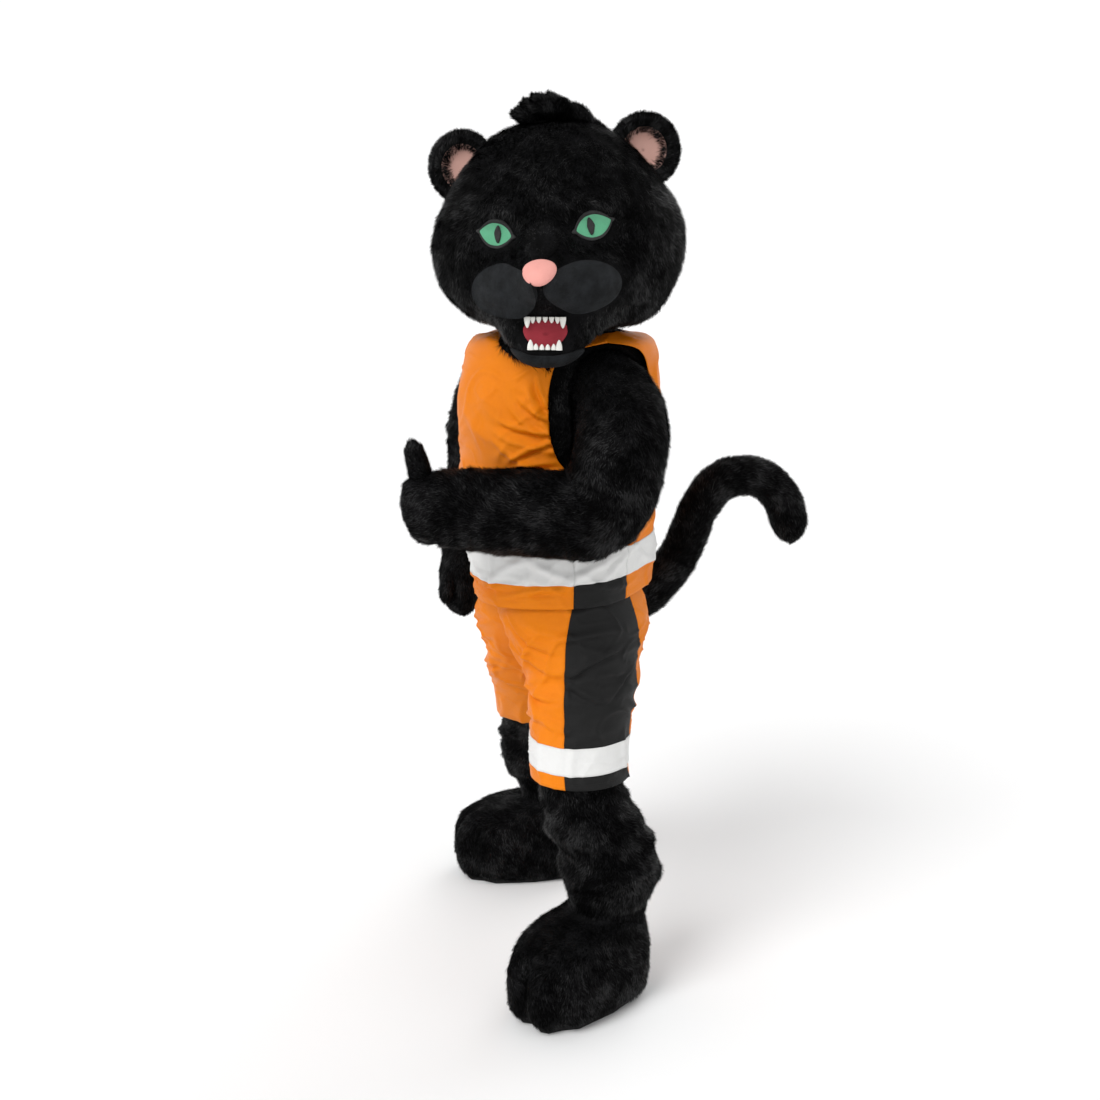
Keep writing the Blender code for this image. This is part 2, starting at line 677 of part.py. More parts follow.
round_leg = np.radians([-180, -157, -134, -108, -78, -48, -24, 0, 24, 48, 78, 108, 134, 157, 180])
leg_levels = [0.0, 0.10, 0.20, 0.29, 0.36, 0.46, 0.58, 0.68, 0.74, 0.80, 0.86, 0.93, 1.0]
shorts_levels = [0.0, 0.05, 0.14, 0.24, 0.34, 0.44, 0.54, 0.63, 0.73, 0.84, 0.95, 1.0]
SHORTS_PANELS = (("front", 0, 6), ("side", 5, 10), ("back", 9, 15))

# Tail.

# Place, x, y, z, radius, radius.
TAIL_ROWS = [
    (0.00, 0.0, 0.130, 0.842, 0.056, 0.058),
    (0.07, 0.0, 0.187, 0.855, 0.052, 0.053),
    (0.16, 0.0, 0.258, 0.884, 0.048, 0.049),
    (0.25, 0.0, 0.315, 0.933, 0.046, 0.047),
    (0.35, 0.0, 0.355, 0.997, 0.045, 0.046),
    (0.45, 0.0, 0.386, 1.060, 0.045, 0.046),
    (0.54, 0.0, 0.436, 1.112, 0.045, 0.046),
    (0.64, 0.0, 0.507, 1.127, 0.045, 0.046),
    (0.74, 0.0, 0.583, 1.107, 0.045, 0.046),
    (0.84, 0.0, 0.638, 1.056, 0.046, 0.046),
    (0.93, 0.0, 0.664, 0.996, 0.044, 0.045),
    (0.985, 0.0, 0.670, 0.955, 0.026, 0.027),
    (1.00, 0.0, 0.671, 0.944, 0.003, 0.003),
]
tail_shape = tube(TAIL_ROWS, (1.0, 0.0, 0.0))
tail_levels = [0, 0.08, 0.16, 0.24, 0.32, 0.40, 0.48, 0.55, 0.62, 0.69, 0.76, 0.83, 0.89, 0.94,
               0.975, 1.0]
stuffed("tail", tail_shape, *places(turns(10), tail_levels), "plush")
# The same path begun further in, so that the hole goes right through each wall.
tail_way = tube([(-0.08, 0.0, 0.070, 0.832, 0.056, 0.058), *TAIL_ROWS], (1.0, 0.0, 0.0))
tail_hole = stuffed("tail_hole", widened(tail_way, 0.001),
                    *places(turns(10), [-0.08, 0.0, 0.05, 0.10, 0.16, 0.22]), "plush", cutter=True)

for label, sign, stance in (("left", 1, LEFT_STANCE), ("right", -1, RIGHT_STANCE)):
    leg = trouser(LEG_ROWS, stance, sign, leg_folds(LEG_FOLDS, 0.10, sign))
    u, v = places(round_leg, leg_levels)
    v[0] += 0.0003
    cut(wall(f"leg_{label}", leg, u, v, PLUSH, "plush", side=-sign), tail_hole)
    short = trouser(SHORTS_ROWS, stance, sign, shorts_relief(sign))
    for part, low, high in SHORTS_PANELS:
        grid = trimmed(short, *places(round_leg[low:high], shorts_levels))
        kind = "black" if part == "side" else "orange"
        made = wall(f"shorts_{label}_{part}", short, *grid, SATIN, kind, side=-sign)
        if part == "back":
            cut(made, tail_hole)
    if sign > 0:
        u, v = places(round_leg, shorts_levels[9:11])
        wall("shorts_band_left", short, u, v, BAND, "white", LIFT + BAND, side=-sign)


# Boots.

# Height, reach of the toe, reach of the heel, half width, all from the ankle's middle.
BOOT_ROWS = [
    (0.012, 0.246, 0.074, 0.086),
    (0.022, 0.262, 0.084, 0.098),
    (0.060, 0.275, 0.090, 0.108),
    (0.112, 0.275, 0.090, 0.109),
    (0.154, 0.260, 0.088, 0.104),
    (0.182, 0.226, 0.086, 0.096),
    (0.198, 0.172, 0.085, 0.089),
    (0.207, 0.116, 0.087, 0.0878),
    (0.213, 0.0885, 0.0885, 0.0885),
    (0.2217, 0.0885, 0.0885, 0.0885),
]


def boot(ankle, heading, rows=BOOT_ROWS):
    """surface(u, z): level sections round the ankle's middle, with creases between the toes."""
    c, s = math.cos(heading), math.sin(heading)

    def surface(u, z):
        toe, heel, half = np.moveaxis(smooth(z, rows), -1, 0)
        front = np.cos(u) > 0
        reach = np.where(front, toe, heel)
        power = np.where(front, 2.0 + 0.8 * fade(toe, 0.10, 0.20), 2.0)
        wide = half * (1 + 0.14 * np.cos(u) * fade(toe, 0.10, 0.20))
        x = wide * np.sign(np.sin(u)) * np.abs(np.sin(u)) ** (2 / power)
        y = -reach * np.sign(np.cos(u)) * np.abs(np.cos(u)) ** (2 / power)
        dent = 0.0 * u
        for angle in (-28, 0, 28):
            off = np.degrees(np.arctan2(x, -y)) - angle * 0.62
            dent = dent + np.exp(-((off / 3.2) ** 2))
        shrink = 1 - 0.075 * dent * fade(toe, 0.16, 0.24) * (y < 0)
        x, y = x * shrink, y * shrink
        return np.stack([ankle[0] + c * x - s * y, ankle[1] + s * x + c * y, z], axis=-1)

    return surface


LEFT_ANKLE, LEFT_HEADING = (0.195, 0.006), math.radians(14)
RIGHT_ANKLE, RIGHT_HEADING = (-0.413, 0.237), math.radians(-22)
SOLE_THICK = 0.0117
boot_turns = np.radians(
    [0, 10, 20, 33, 52, 80, 115, 150, 180, 210, 245, 280, 308, 327, 340, 350]
)
boot_levels = [0.012, 0.024, 0.065, 0.122, 0.164, 0.188, 0.203, 0.213, 0.2217]
for label, ankle, heading in (
    ("left", LEFT_ANKLE, LEFT_HEADING), ("right", RIGHT_ANKLE, RIGHT_HEADING),
):
    shape = boot(ankle, heading)
    wall(f"boot_{label}", shape, *places(boot_turns, boot_levels), BOOT_FOAM, "plush",
         closed=True)
    rim = shape(boot_turns, np.full(len(boot_turns), 0.0125))
    outline = np.stack([rim, rim])
    outline[0, :, 2], outline[1, :, 2] = 0.0, SOLE_THICK

    def slab(u, v, outline=outline):
        return outline

    stuffed(f"sole_{label}", slab, *places(boot_turns, [0, 1]), "rubber")


# Head.

# Place up the profile, height, half width, depth in front, depth behind.
HEAD_ROWS = [
    (0.00, 1.5145, 0.1235, 0.1235, 0.1235),
    (0.06, 1.518, 0.150, 0.150, 0.150),
    (0.14, 1.530, 0.190, 0.186, 0.186),
    (0.24, 1.566, 0.229, 0.212, 0.216),
    (0.36, 1.631, 0.264, 0.230, 0.244),
    (0.48, 1.695, 0.272, 0.234, 0.254),
    (0.56, 1.740, 0.262, 0.230, 0.252),
    (0.66, 1.789, 0.235, 0.214, 0.238),
    (0.77, 1.851, 0.192, 0.184, 0.206),
    (0.87, 1.900, 0.143, 0.142, 0.158),
    (0.94, 1.931, 0.092, 0.094, 0.104),
    (1.00, 1.946, 1e-8, 1e-8, 1e-8),
]
# Across, height, half width, half height, how far the foam is pushed out and up, then how far
# forward the swelling starts and is whole.
FACE_BUMPS = [
    (0.066, 1.602, 0.084, 0.064, 0.078, 0.000, 0.02, 0.12),
    (-0.066, 1.602, 0.084, 0.064, 0.078, 0.000, 0.02, 0.12),
    (0.000, 1.664, 0.050, 0.070, 0.060, 0.000, 0.02, 0.12),
    (0.000, 1.528, 0.098, 0.030, 0.070, -0.068, 0.150, 0.190),
    (0.000, 1.556, 0.055, 0.014, -0.030, 0.000, 0.15, 0.19),
    (0.100, 1.775, 0.070, 0.030, 0.020, 0.000, 0.02, 0.12),
    (-0.100, 1.775, 0.070, 0.030, 0.020, 0.000, 0.02, 0.12),
    (0.105, 1.712, 0.055, 0.034, -0.010, 0.000, 0.02, 0.12),
    (-0.105, 1.712, 0.055, 0.034, -0.010, 0.000, 0.02, 0.12),
]


def swelled(points):
    x, z = points[..., 0], points[..., 2]
    out, up = 0.0 * x, 0.0 * x
    for across, height, wide, tall, push, lift, start, whole in FACE_BUMPS:
        far = np.hypot((x - across) / wide, (z - height) / tall)
        amount = np.exp(-(far**3)) * fade(-points[..., 1], start, whole)
        out, up = out + push * amount, up + lift * amount
    return points + np.stack([0 * x, -out, up], axis=-1)


def posed(points):
    """Head space to the costume: a small roll that fades towards the neck, then the turn."""
    x, y, z = np.moveaxis(points, -1, 0)
    roll = HEAD_ROLL * fade(z, 1.52, 1.62)
    c, s = np.cos(roll), np.sin(roll)
    x, z = x * c + (z - 1.62) * s, 1.62 - x * s + (z - 1.62) * c
    c, s = math.cos(HEAD_TURN), math.sin(HEAD_TURN)
    return np.stack([x * c - y * s, x * s + y * c, z], axis=-1)


def head_plain(u, w):
    z, half, front, back = np.moveaxis(smooth(w, HEAD_ROWS), -1, 0)
    x, y = ring(u, half, front, back)
    return np.stack([x, y - HEAD_FORWARD * fade(w, 0.0, 0.2), z], axis=-1)


def head_shape(u, w):
    return posed(swelled(head_plain(u, w)))


def head_inside(u, w):
    plain = head_plain(u, w)
    points = plain + 0.6 * (swelled(plain) - plain)
    n = np.where(w[..., None] > 0.999, [0.0, 0.0, 1.0], normals(head_plain, u, w))
    return posed(points - FOAM * n)


def face_point(x, z):
    """The face at a place across and up, before the turn."""
    table = np.asarray(HEAD_ROWS)[:, [1, 2, 3]]
    half, depth = np.moveaxis(smooth(z, table), -1, 0)
    y = -HEAD_FORWARD - depth * np.sqrt(np.clip(1 - (x / half) ** 2, 0.0, 1))
    return posed(swelled(np.stack([x, y, z], axis=-1)))


FACE_COLUMNS = np.radians([-90, -75, -61, -49, -39, -31, -24, -17, -11, -5, 0, 5, 11, 17, 24,
                           31, 39, 49, 61, 75, 90])
NAPE_COLUMNS = np.linspace(math.pi / 2, 3 * math.pi / 2, 10)
FACE_LEVELS = [0, 0.06, 0.11, 0.15, 0.19, 0.23, 0.27, 0.31, 0.35, 0.40, 0.46, 0.52, 0.58, 0.65,
               0.73, 0.81, 0.88, 0.94, 1.0]


def split(name, columns, away):
    u, w = places(columns, FACE_LEVELS)
    move = np.array([-math.sin(HEAD_TURN), math.cos(HEAD_TURN), 0]) * away
    outer, inner = head_shape(u, w) + move, head_inside(u, w) + move
    return add(name, sheet_mesh(name, outer, inner), "plush")


head_face = split("head_face", FACE_COLUMNS, -SEAM)
head_back = split("head_back", NAPE_COLUMNS, SEAM)


def neck_tube(radius):
    def surface(u, z):
        return np.stack([radius * np.sin(u), -radius * np.cos(u), z], axis=-1)

    return surface


wall("neck_ring", neck_tube(0.1192), *places(turns(32), [1.5063, 1.5265]), 0.0083, "plush",
     closed=True)


def block(u, w):
    """The head's own points, moved out by LIFT: what sits on the head is cut with this."""
    n = np.where(w[..., None] > 0.999, [0.0, 0.0, 1.0], normals(head_shape, u, w))
    return head_shape(u, w) + n * 2 * LIFT


head_columns = np.concatenate([FACE_COLUMNS, NAPE_COLUMNS[1:-1]])
head_block = stuffed("head_block", block, *places(head_columns, FACE_LEVELS), "plush", cutter=True)


def disc(x0, z0, wide, tall, tilt, shape=None):
    """surface(angle, r) on the face: an oval round a place, its edge pulled in by shape."""
    c, s = math.cos(math.radians(tilt)), math.sin(math.radians(tilt))

    def surface(angle, r):
        a, b = wide * np.cos(angle) * r, tall * np.sin(angle) * r
        if shape is not None:
            a, b = shape(a, b)
        return face_point(x0 + a * c - b * s, z0 + a * s + b * c)

    return surface


def patch(name, surface, count, radii, depth, height, kind, under=(), grown=None):
    """A piece on the face, sunk by depth and standing out by height(r), then cut to fit what is
    under it. With grown, a slightly larger copy of that surface is kept as a second cutter."""
    angle, r = places(turns(count), radii)
    face, out = outward(surface, angle, r, -1, np.maximum(r, 0.02))
    top = face + out * height(r)[..., None]
    made = add(name, sheet_mesh(name, top, face - out * depth, closed=True), kind)
    cut(made, head_block, *under)
    if grown is None:
        return made
    surface = grown
    wide = np.linalg.norm(face[-1] - face[0], axis=-1)
    r[-1] += 4 * LIFT / np.maximum(wide, 0.004)
    face, out = outward(surface, angle, r, -1, np.maximum(r, 0.02))
    r[-1] = radii[-1]
    top = face + out * (height(r)[..., None] + 1.5 * LIFT)
    mesh = sheet_mesh(name + "_room", top, face - out * (depth + 0.010), closed=True)
    return made, add(name + "_room", mesh, kind, cutter=True)


def dome(rim, height):
    return lambda r: rim + height * np.sqrt(np.clip(1 - np.minimum(r, 1.0) ** 2, 0, 1))


def flat(height):
    return lambda r: height + 0.0 * r


def almond(wide):
    """Draws the ends of an oval in to blunt points."""
    return lambda a, b: (a, b * np.clip(1.06 - (a / wide) ** 2, 0.06, 1) ** 0.4)


SUNK = 0.008  # how deep a piece starts inside the face before it is cut to fit
pads = []
for label, sign in (("left", 1), ("right", -1)):
    def pad(angle, r, sign=sign, middle=0.0008):
        x = 0.076 + 0.070 * np.cos(angle) * r
        z = 1.609 + 0.046 * np.sin(angle) * r
        return face_point(sign * np.maximum(x, middle), z)

    def wider_pad(angle, r, pad=pad):
        return pad(angle, r, middle=0.0002)

    pads.append(patch(f"whisker_pad_{label}", pad, 18, [0, 0.35, 0.7, 1.0], SUNK,
                      dome(0.003, 0.010), "fleece", grown=wider_pad)[1])
chin = disc(0.0, 1.530, 0.074, 0.0095, 0)
jaw, jaw_room = patch("jaw", chin, 16, [0, 0.5, 1.0], SUNK, dome(0.003, 0.006), "fleece", pads,
                      grown=chin)
ridge = disc(0.0, 1.700, 0.034, 0.036, 0)
bridge, bridge_room = patch("nose_bridge", ridge, 16, [0, 0.5, 1.0], SUNK, dome(0.003, 0.004),
                            "plush", pads, grown=ridge)


def nose_outline(a, b):
    """A rounded wedge, wider above than below."""
    return a * (1 + 9 * b), b


patch("nose", disc(0.0, 1.640, 0.029, 0.021, 0, nose_outline), 14, [0, 0.5, 1.0], SUNK,
      dome(0.006, 0.014), "pink", [bridge_room, *pads])
patch("tongue", disc(0.0, 1.5535, 0.046, 0.0085, 0), 16, [0, 0.5, 1.0], SUNK, dome(0.002, 0.004),
      "red", [*pads, jaw_room])
EYE_WIDE = 0.036
for label, sign in (("left", 1), ("right", -1)):
    place = (sign * 0.098, 1.722, EYE_WIDE, 0.025, sign * 14)
    patch(f"eye_rim_{label}", disc(*place, almond(EYE_WIDE)), 14, [1.04, 1.2], SUNK, flat(0.005),
          "mesh")
    slit = disc(sign * 0.092, 1.722, 0.0075, 0.020, sign * 4, almond(0.0075))
    pupil, pupil_room = patch(f"pupil_{label}", slit, 10, [0, 1.0], SUNK, flat(0.0085), "mesh",
                              grown=slit)
    patch(f"eye_{label}", disc(*place, almond(EYE_WIDE)), 14, [0, 0.5, 1.0], SUNK,
          dome(0.004, 0.003), "green", [pupil_room])


# Ears, teeth and tuft.

# Reach from the ear's middle, as a share of its radius, then how far it stands back or front.
EAR_BACK = [(0.0, 0.026), (0.45, 0.023), (0.80, 0.013), (1.0, 0.0)]
EAR_FRONT = [(0.0, -0.016), (0.40, -0.013), (0.66, 0.004), (0.86, 0.010), (1.0, 0.0)]
EAR_RADIUS, EAR_ACROSS, EAR_HEIGHT, EAR_BEHIND = 0.078, 0.197, 1.866, 0.012


def ear_point(sign, angle, r, stand_out):
    """A place on the ear's dish: angle and share of its radius, then how far it stands out."""
    x, z = EAR_RADIUS * r * np.cos(angle), EAR_RADIUS * r * np.sin(angle)
    lean, turn = math.radians(12), math.radians(14)
    level = x * math.cos(lean) + z * math.sin(lean)
    across = EAR_ACROSS + level * math.cos(turn) + stand_out * math.sin(turn)
    along = EAR_BEHIND + level * math.sin(turn) * 0.6 - stand_out * math.cos(turn)
    up = EAR_HEIGHT - x * math.sin(lean) + z * math.cos(lean)
    return posed(np.stack([sign * across, along, up], axis=-1))


def reach(table, r):
    return smooth(r, table)[..., 0]


for label, sign in (("left", 1), ("right", -1)):
    angle, r = places(turns(14), [0.0, 0.45, 0.80, 1.0])
    back = ear_point(sign, angle, r, -reach(EAR_BACK, r))
    angle, r = places(turns(14), [0.86, 0.66, 0.40, 0.0])
    front = ear_point(sign, angle, r, reach(EAR_FRONT, r))
    dish = np.concatenate([back, front])
    ear = stuffed(f"ear_{label}", lambda u, v, dish=dish: dish, turns(14), 0, "plush")
    cut(ear, head_block)
    angle, r = places(turns(14), [0.0, 0.40, 0.62])
    inner = ear_point(sign, angle, r, reach(EAR_FRONT, r) + LIFT)
    outer = ear_point(sign, angle, r, reach(EAR_FRONT, r) + LIFT + 0.002)
    made = add(f"ear_lining_{label}", sheet_mesh(f"ear_lining_{label}", outer, inner, closed=True),
               "pink")
    cut(made, head_block)


# Across, then how far the row of teeth reaches there: tips and the valleys between them.
UPPER_TEETH = [
    (-0.046, 0.003), (-0.040, 0.006), (-0.036, 0.022), (-0.030, 0.006), (-0.025, 0.013),
    (-0.019, 0.005), (-0.013, 0.012), (-0.007, 0.005), (0.0, 0.011), (0.007, 0.005),
    (0.013, 0.012), (0.019, 0.005), (0.025, 0.013), (0.030, 0.006), (0.036, 0.022),
    (0.040, 0.006), (0.046, 0.003),
]
LOWER_TEETH = [
    (-0.038, 0.003), (-0.034, 0.006), (-0.029, 0.020), (-0.023, 0.006), (-0.018, 0.012),
    (-0.012, 0.005), (-0.006, 0.011), (0.0, 0.005), (0.006, 0.011), (0.012, 0.005),
    (0.018, 0.012), (0.023, 0.006), (0.029, 0.020), (0.034, 0.006), (0.038, 0.003),
]


def tooth_row(name, table, height, root, downward, forward):
    """A curved plate with a toothed edge, its root at a height in the open mouth."""
    table = np.asarray(table)
    x, length = table[:, 0], table[:, 1]
    base = face_point(x, np.full(len(x), height))
    ahead = np.array([math.sin(HEAD_TURN), -math.cos(HEAD_TURN), 0.0])
    rows = []
    for share in (0.0, 1.0):
        points = base + ahead * forward
        points[:, 2] = root + downward * length * share
        rows.append(points)
    outer = np.stack(rows)
    made = add(name, sheet_mesh(name, outer, outer - ahead * 0.005), "white")
    cut(made, head_block, *pads, jaw_room)


tooth_row("upper_teeth", UPPER_TEETH, 1.5535, 1.552, -1, 0.012)
tooth_row("lower_teeth", LOWER_TEETH, 1.5535, 1.488, 1, 0.018)


def lock(root, tip, radius, bend, sides=4):
    """A tapered lock of fur from root to tip, bent sideways in its middle."""
    root, tip, bend = np.array(root, float), np.array(tip, float), np.array(bend, float)
    axis = tip - root
    side = np.cross(axis, [0.31, 0.17, 0.93])
    side /= np.linalg.norm(side)
    other = np.cross(axis / np.linalg.norm(axis), side)
    rows = []
    for t, share in ((0.0, 1.0), (0.4, 0.85), (0.8, 0.45), (1.0, 0.08)):
        middle = root + axis * t + bend * (4 * t * (1 - t))
        around = turns(sides)[:, None]
        rows.append(middle + radius * share * (np.cos(around) * side + np.sin(around) * other))
    return posed(np.stack(rows))


# Root x, y, z, tip x, y, z, radius, bend x, y, z, in the head's own space.
TUFT_LOCKS = [
    (-0.020, -0.060, 1.930, -0.062, -0.088, 1.962, 0.013, -0.004, 0.0, 0.010),
    (-0.012, -0.040, 1.938, -0.044, -0.060, 1.984, 0.014, 0.006, 0.0, 0.008),
    (0.002, -0.050, 1.936, -0.018, -0.078, 1.992, 0.014, 0.006, 0.0, 0.008),
    (0.016, -0.036, 1.938, 0.012, -0.056, 1.994, 0.013, 0.006, 0.0, 0.006),
    (0.026, -0.050, 1.930, 0.044, -0.082, 1.974, 0.013, 0.004, 0.0, 0.010),
]


def crown(angle, r):
    x, y = 0.052 * np.cos(angle) * r + 0.004, 0.042 * np.sin(angle) * r - 0.044
    z = 1.946 - 0.9 * (x**2 + (y + 0.02) ** 2) / 0.5
    return posed(np.stack([x, y, z], axis=-1))


angle, r = places(turns(10), [0.0, 0.6, 1.0])
face = crown(angle, r)
top = face + np.stack([0 * r, 0 * r, 0.010 * (1.15 - r**2)], axis=-1)
tuft = add("crown_tuft", sheet_mesh("crown_tuft", top, face - [0, 0, 0.010], closed=True), "plush")
for number, row in enumerate(TUFT_LOCKS):
    shape = lock(row[0:3], row[3:6], row[6], row[7:10])
    cut(tuft, stuffed(f"tuft_lock_{number}", lambda u, v, shape=shape: shape, turns(4), 0,
                      "plush", cutter=True), operation="UNION")
cut(tuft, head_block)
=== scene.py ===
import math

import bmesh
import bpy
import numpy as np
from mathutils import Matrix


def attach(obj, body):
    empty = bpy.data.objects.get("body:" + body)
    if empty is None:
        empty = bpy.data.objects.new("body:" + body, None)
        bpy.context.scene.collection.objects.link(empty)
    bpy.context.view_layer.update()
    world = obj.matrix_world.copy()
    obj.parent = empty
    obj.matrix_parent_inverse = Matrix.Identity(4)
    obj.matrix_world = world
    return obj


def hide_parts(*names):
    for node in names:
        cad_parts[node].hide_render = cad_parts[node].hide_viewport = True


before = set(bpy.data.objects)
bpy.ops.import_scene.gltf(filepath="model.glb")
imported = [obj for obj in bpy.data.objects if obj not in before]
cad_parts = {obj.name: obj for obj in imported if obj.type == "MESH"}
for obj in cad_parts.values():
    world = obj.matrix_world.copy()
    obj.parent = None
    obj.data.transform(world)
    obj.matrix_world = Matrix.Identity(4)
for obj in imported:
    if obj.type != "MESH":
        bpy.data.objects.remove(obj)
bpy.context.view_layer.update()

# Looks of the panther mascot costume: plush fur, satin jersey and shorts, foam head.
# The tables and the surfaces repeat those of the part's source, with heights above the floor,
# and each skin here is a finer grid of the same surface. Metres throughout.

NECK_HEIGHT = 1.50
PLUSH, SATIN, BAND, FOAM, LIFT, SEAM = 0.003, 0.0015, 0.0012, 0.012, 0.0003, 0.00015
HEAD_TURN, HEAD_ROLL, HEAD_FORWARD = math.radians(52), math.radians(-5), 0.020

# The camera: 3.3 m from the costume at 1.8 m above the floor, looking 13.5 degrees down.
view = bpy.data.cameras.new("photo_view")
view.sensor_width, view.lens = 36.0, 49.12
view.clip_start, view.clip_end = 0.05, 60.0
eye = bpy.data.objects.new("photo_view", view)
eye.location = (2.8286, -1.7296, 0.30)
eye.rotation_euler = (math.radians(76.5), 0.0, math.radians(59))
bpy.context.scene.collection.objects.link(eye)
bpy.context.scene.camera = eye
bpy.context.scene.view_settings.view_transform = "Standard"


# Numbers to surfaces.


def cubic(at, knots, values, slopes):
    """Rows of values between knots, by one cubic from each knot to the next."""
    at = np.clip(np.asarray(at, float), knots[0], knots[-1])
    index = np.clip(np.searchsorted(knots, at, "right") - 1, 0, len(knots) - 2)
    step = (knots[index + 1] - knots[index])[..., None]
    t = (at - knots[index])[..., None] / step
    return (
        (1 + 2 * t) * (1 - t) ** 2 * values[index]
        + t * (1 - t) ** 2 * step * slopes[index]
        + t * t * (3 - 2 * t) * values[index + 1]
        + t * t * (t - 1) * step * slopes[index + 1]
    )


def smooth(at, table):
    """Columns 1.. of the table at places of column 0, by cubics that never overshoot."""
    table = np.asarray(table, float)
    knots, values = table[:, 0], table[:, 1:]
    rise = np.diff(values, axis=0) / np.diff(knots)[:, None]
    slopes = np.zeros_like(values)
    product = rise[1:] * rise[:-1]
    total = np.where(np.abs(rise[1:] + rise[:-1]) < 1e-12, 1.0, rise[1:] + rise[:-1])
    slopes[1:-1] = np.where(product > 0, 2 * product / total, 0.0)
    slopes[0], slopes[-1] = rise[0], rise[-1]
    return cubic(at, knots, values, slopes)


def sections(at, table):
    """The same columns, one array each."""
    return np.moveaxis(smooth(at, table), -1, 0)


def xyz(x, y, z):
    """One array of points from their coordinates."""
    return np.stack([x, y, z], axis=-1)


def path(at, table):
    """Columns 1.. of the table at places, by cubics through every row."""
    table = np.asarray(table, float)
    return cubic(at, table[:, 0], table[:, 1:], np.gradient(table[:, 1:], table[:, 0], axis=0))


def folds(around, up, rows):
    """Heights of soft folds: a bell across each fold times a flat-topped bell along it, the
    fold's line bent a little. Rows: around, up, direction in degrees, half length, half width,
    depth."""
    height = np.zeros(np.broadcast(around, up).shape)
    for place, level, turn, length, width, depth in rows:
        c, s = math.cos(math.radians(turn)), math.sin(math.radians(turn))
        a, b = around - place, up - level
        along, across = a * c + b * s, b * c - a * s
        bend = across + 0.12 * along**2 / length
        height = height + depth * np.exp(-((bend / width) ** 2) - (along / length) ** 4)
    return height


def hand_placed(first, rows):
    """Rows of folds from whole numbers: around over first, up in mm, direction in degrees, half
    length in mm, half width and depth in tenths of a mm."""
    return np.array(rows) / (first, 1000, 1, 1000, 10000, 10000)


def normals(surface, u, v, side=1):
    """Unit normals: the cross product of the surface's two small differences."""
    e = 1e-4
    n = np.cross(
        surface(u + e, v) - surface(u - e, v), surface(u, v + e) - surface(u, v - e)
    )
    size = np.linalg.norm(n, axis=-1, keepdims=True)
    return side * n / np.where(size < 1e-15, 1, size)


def outward(surface, u, v, side=1, at=None):
    """The points of a grid and their normals, made one where a row is a single point."""
    points, n = surface(u, v), normals(surface, u, v if at is None else at, side)
    for row, near in ((0, 1), (len(points) - 1, -2)):
        if np.ptp(points[row], axis=0).max() < 1e-6:
            middle = n[near].mean(axis=0)
            n[row] = middle / np.linalg.norm(middle)
    return points, n


def fade(value, low, high):
    """0 below low, 1 above high, and 3t^2 - 2t^3 between."""
    t = np.clip((value - low) / (high - low), 0, 1)
    return t * t * (3 - 2 * t)


def wrapped(u):
    """An angle brought to between minus and plus half a turn."""
    return (u + math.pi) % (2 * math.pi) - math.pi


def places(columns, rows):
    """The two places of each point of a grid: round or across, then up or along."""
    return np.meshgrid(np.asarray(columns, float), np.asarray(rows, float))


def drift(points, size, seed, count=7):
    """A wandering number from about -1 to 1 for each point: the sum of a few sine waves of
    random direction, each about one size long."""
    rng = np.random.default_rng(seed)
    way = rng.normal(size=(count, 3))
    way *= (2 * math.pi / size) * rng.uniform(0.6, 1.5, (count, 1)) / np.linalg.norm(
        way, axis=1, keepdims=True
    )
    turn = rng.uniform(0, 2 * math.pi, count)
    return np.sin(points @ way.T + turn).sum(axis=-1) / math.sqrt(count) * 0.8


# Finishes.


class Wire:
    """One socket of a material. Sums and products of it add Math nodes."""

    def __init__(self, tree, socket=None):
        self.tree, self.socket = tree, socket

    def node(self, kind, settings, values, out=0):
        """Adds a node: its settings first, then a value or a link for each named input."""
        made = self.tree.nodes.new(kind)
        for key, value in settings.items():
            if key == "stops":
                ramp = made.color_ramp
                while len(ramp.elements) < len(value):
                    ramp.elements.new(0.5)
                for element, (place, shade) in zip(ramp.elements, value):
                    element.position, element.color = place, (shade, shade, shade, 1)
            else:
                setattr(made, key, value)
        for key, value in values.items():
            if isinstance(value, Wire):
                self.tree.links.new(value.socket, made.inputs[key])
            else:
                made.inputs[key].default_value = value
        return Wire(self.tree, made.outputs[out])

    def math(self, operation, *values):
        return self.node("ShaderNodeMath", {"operation": operation}, dict(enumerate(values)))

    def __add__(self, other):
        return self.math("ADD", self, other)

    def __mul__(self, other):
        return self.math("MULTIPLY", self, other)

    __radd__, __rmul__ = __add__, __mul__

    def sine(self):
        return self.math("SINE", self)

    def axis(self, number):
        """One coordinate of a vector: 0 across, 1 along, 2 up."""
        return self.node("ShaderNodeSeparateXYZ", {}, {0: self}, number)

    def noise(self, scale, detail, roughness):
        return self.node(
            "ShaderNodeTexNoise", {},
            {"Vector": self.coordinates(), "Scale": scale, "Detail": detail,
             "Roughness": roughness},
        )

    def coordinates(self, name="Object"):
        return self.node("ShaderNodeTexCoord", {}, {}, name)

    def ramp(self, *stops):
        return self.node("ShaderNodeValToRGB", {"stops": stops}, {"Fac": self})

    def between(self, first, second):
        """The colour that lies between two, by this value."""
        return self.node(
            "ShaderNodeMix", {"data_type": "RGBA"}, {"Factor": self, 6: first, 7: second}, 2
        )


def finish(name, fixed, build=None):
    """A Principled material: fixed numbers on its sockets, then what build returns for the
    sockets that vary."""
    made = bpy.data.materials.new(name)
    made.use_nodes = True
    shader = made.node_tree.nodes["Principled BSDF"]
    for key, value in fixed.items():
        shader.inputs[key].default_value = value
    if build:
        for key, value in build(Wire(made.node_tree)).items():
            made.node_tree.links.new(value.socket, shader.inputs[key])
    return made


def bumped(wire, height, distance, strength):
    """A normal that follows a height, in metres of distance."""
    return wire.node("ShaderNodeBump", {},
                     {"Height": height, "Distance": distance, "Strength": strength})


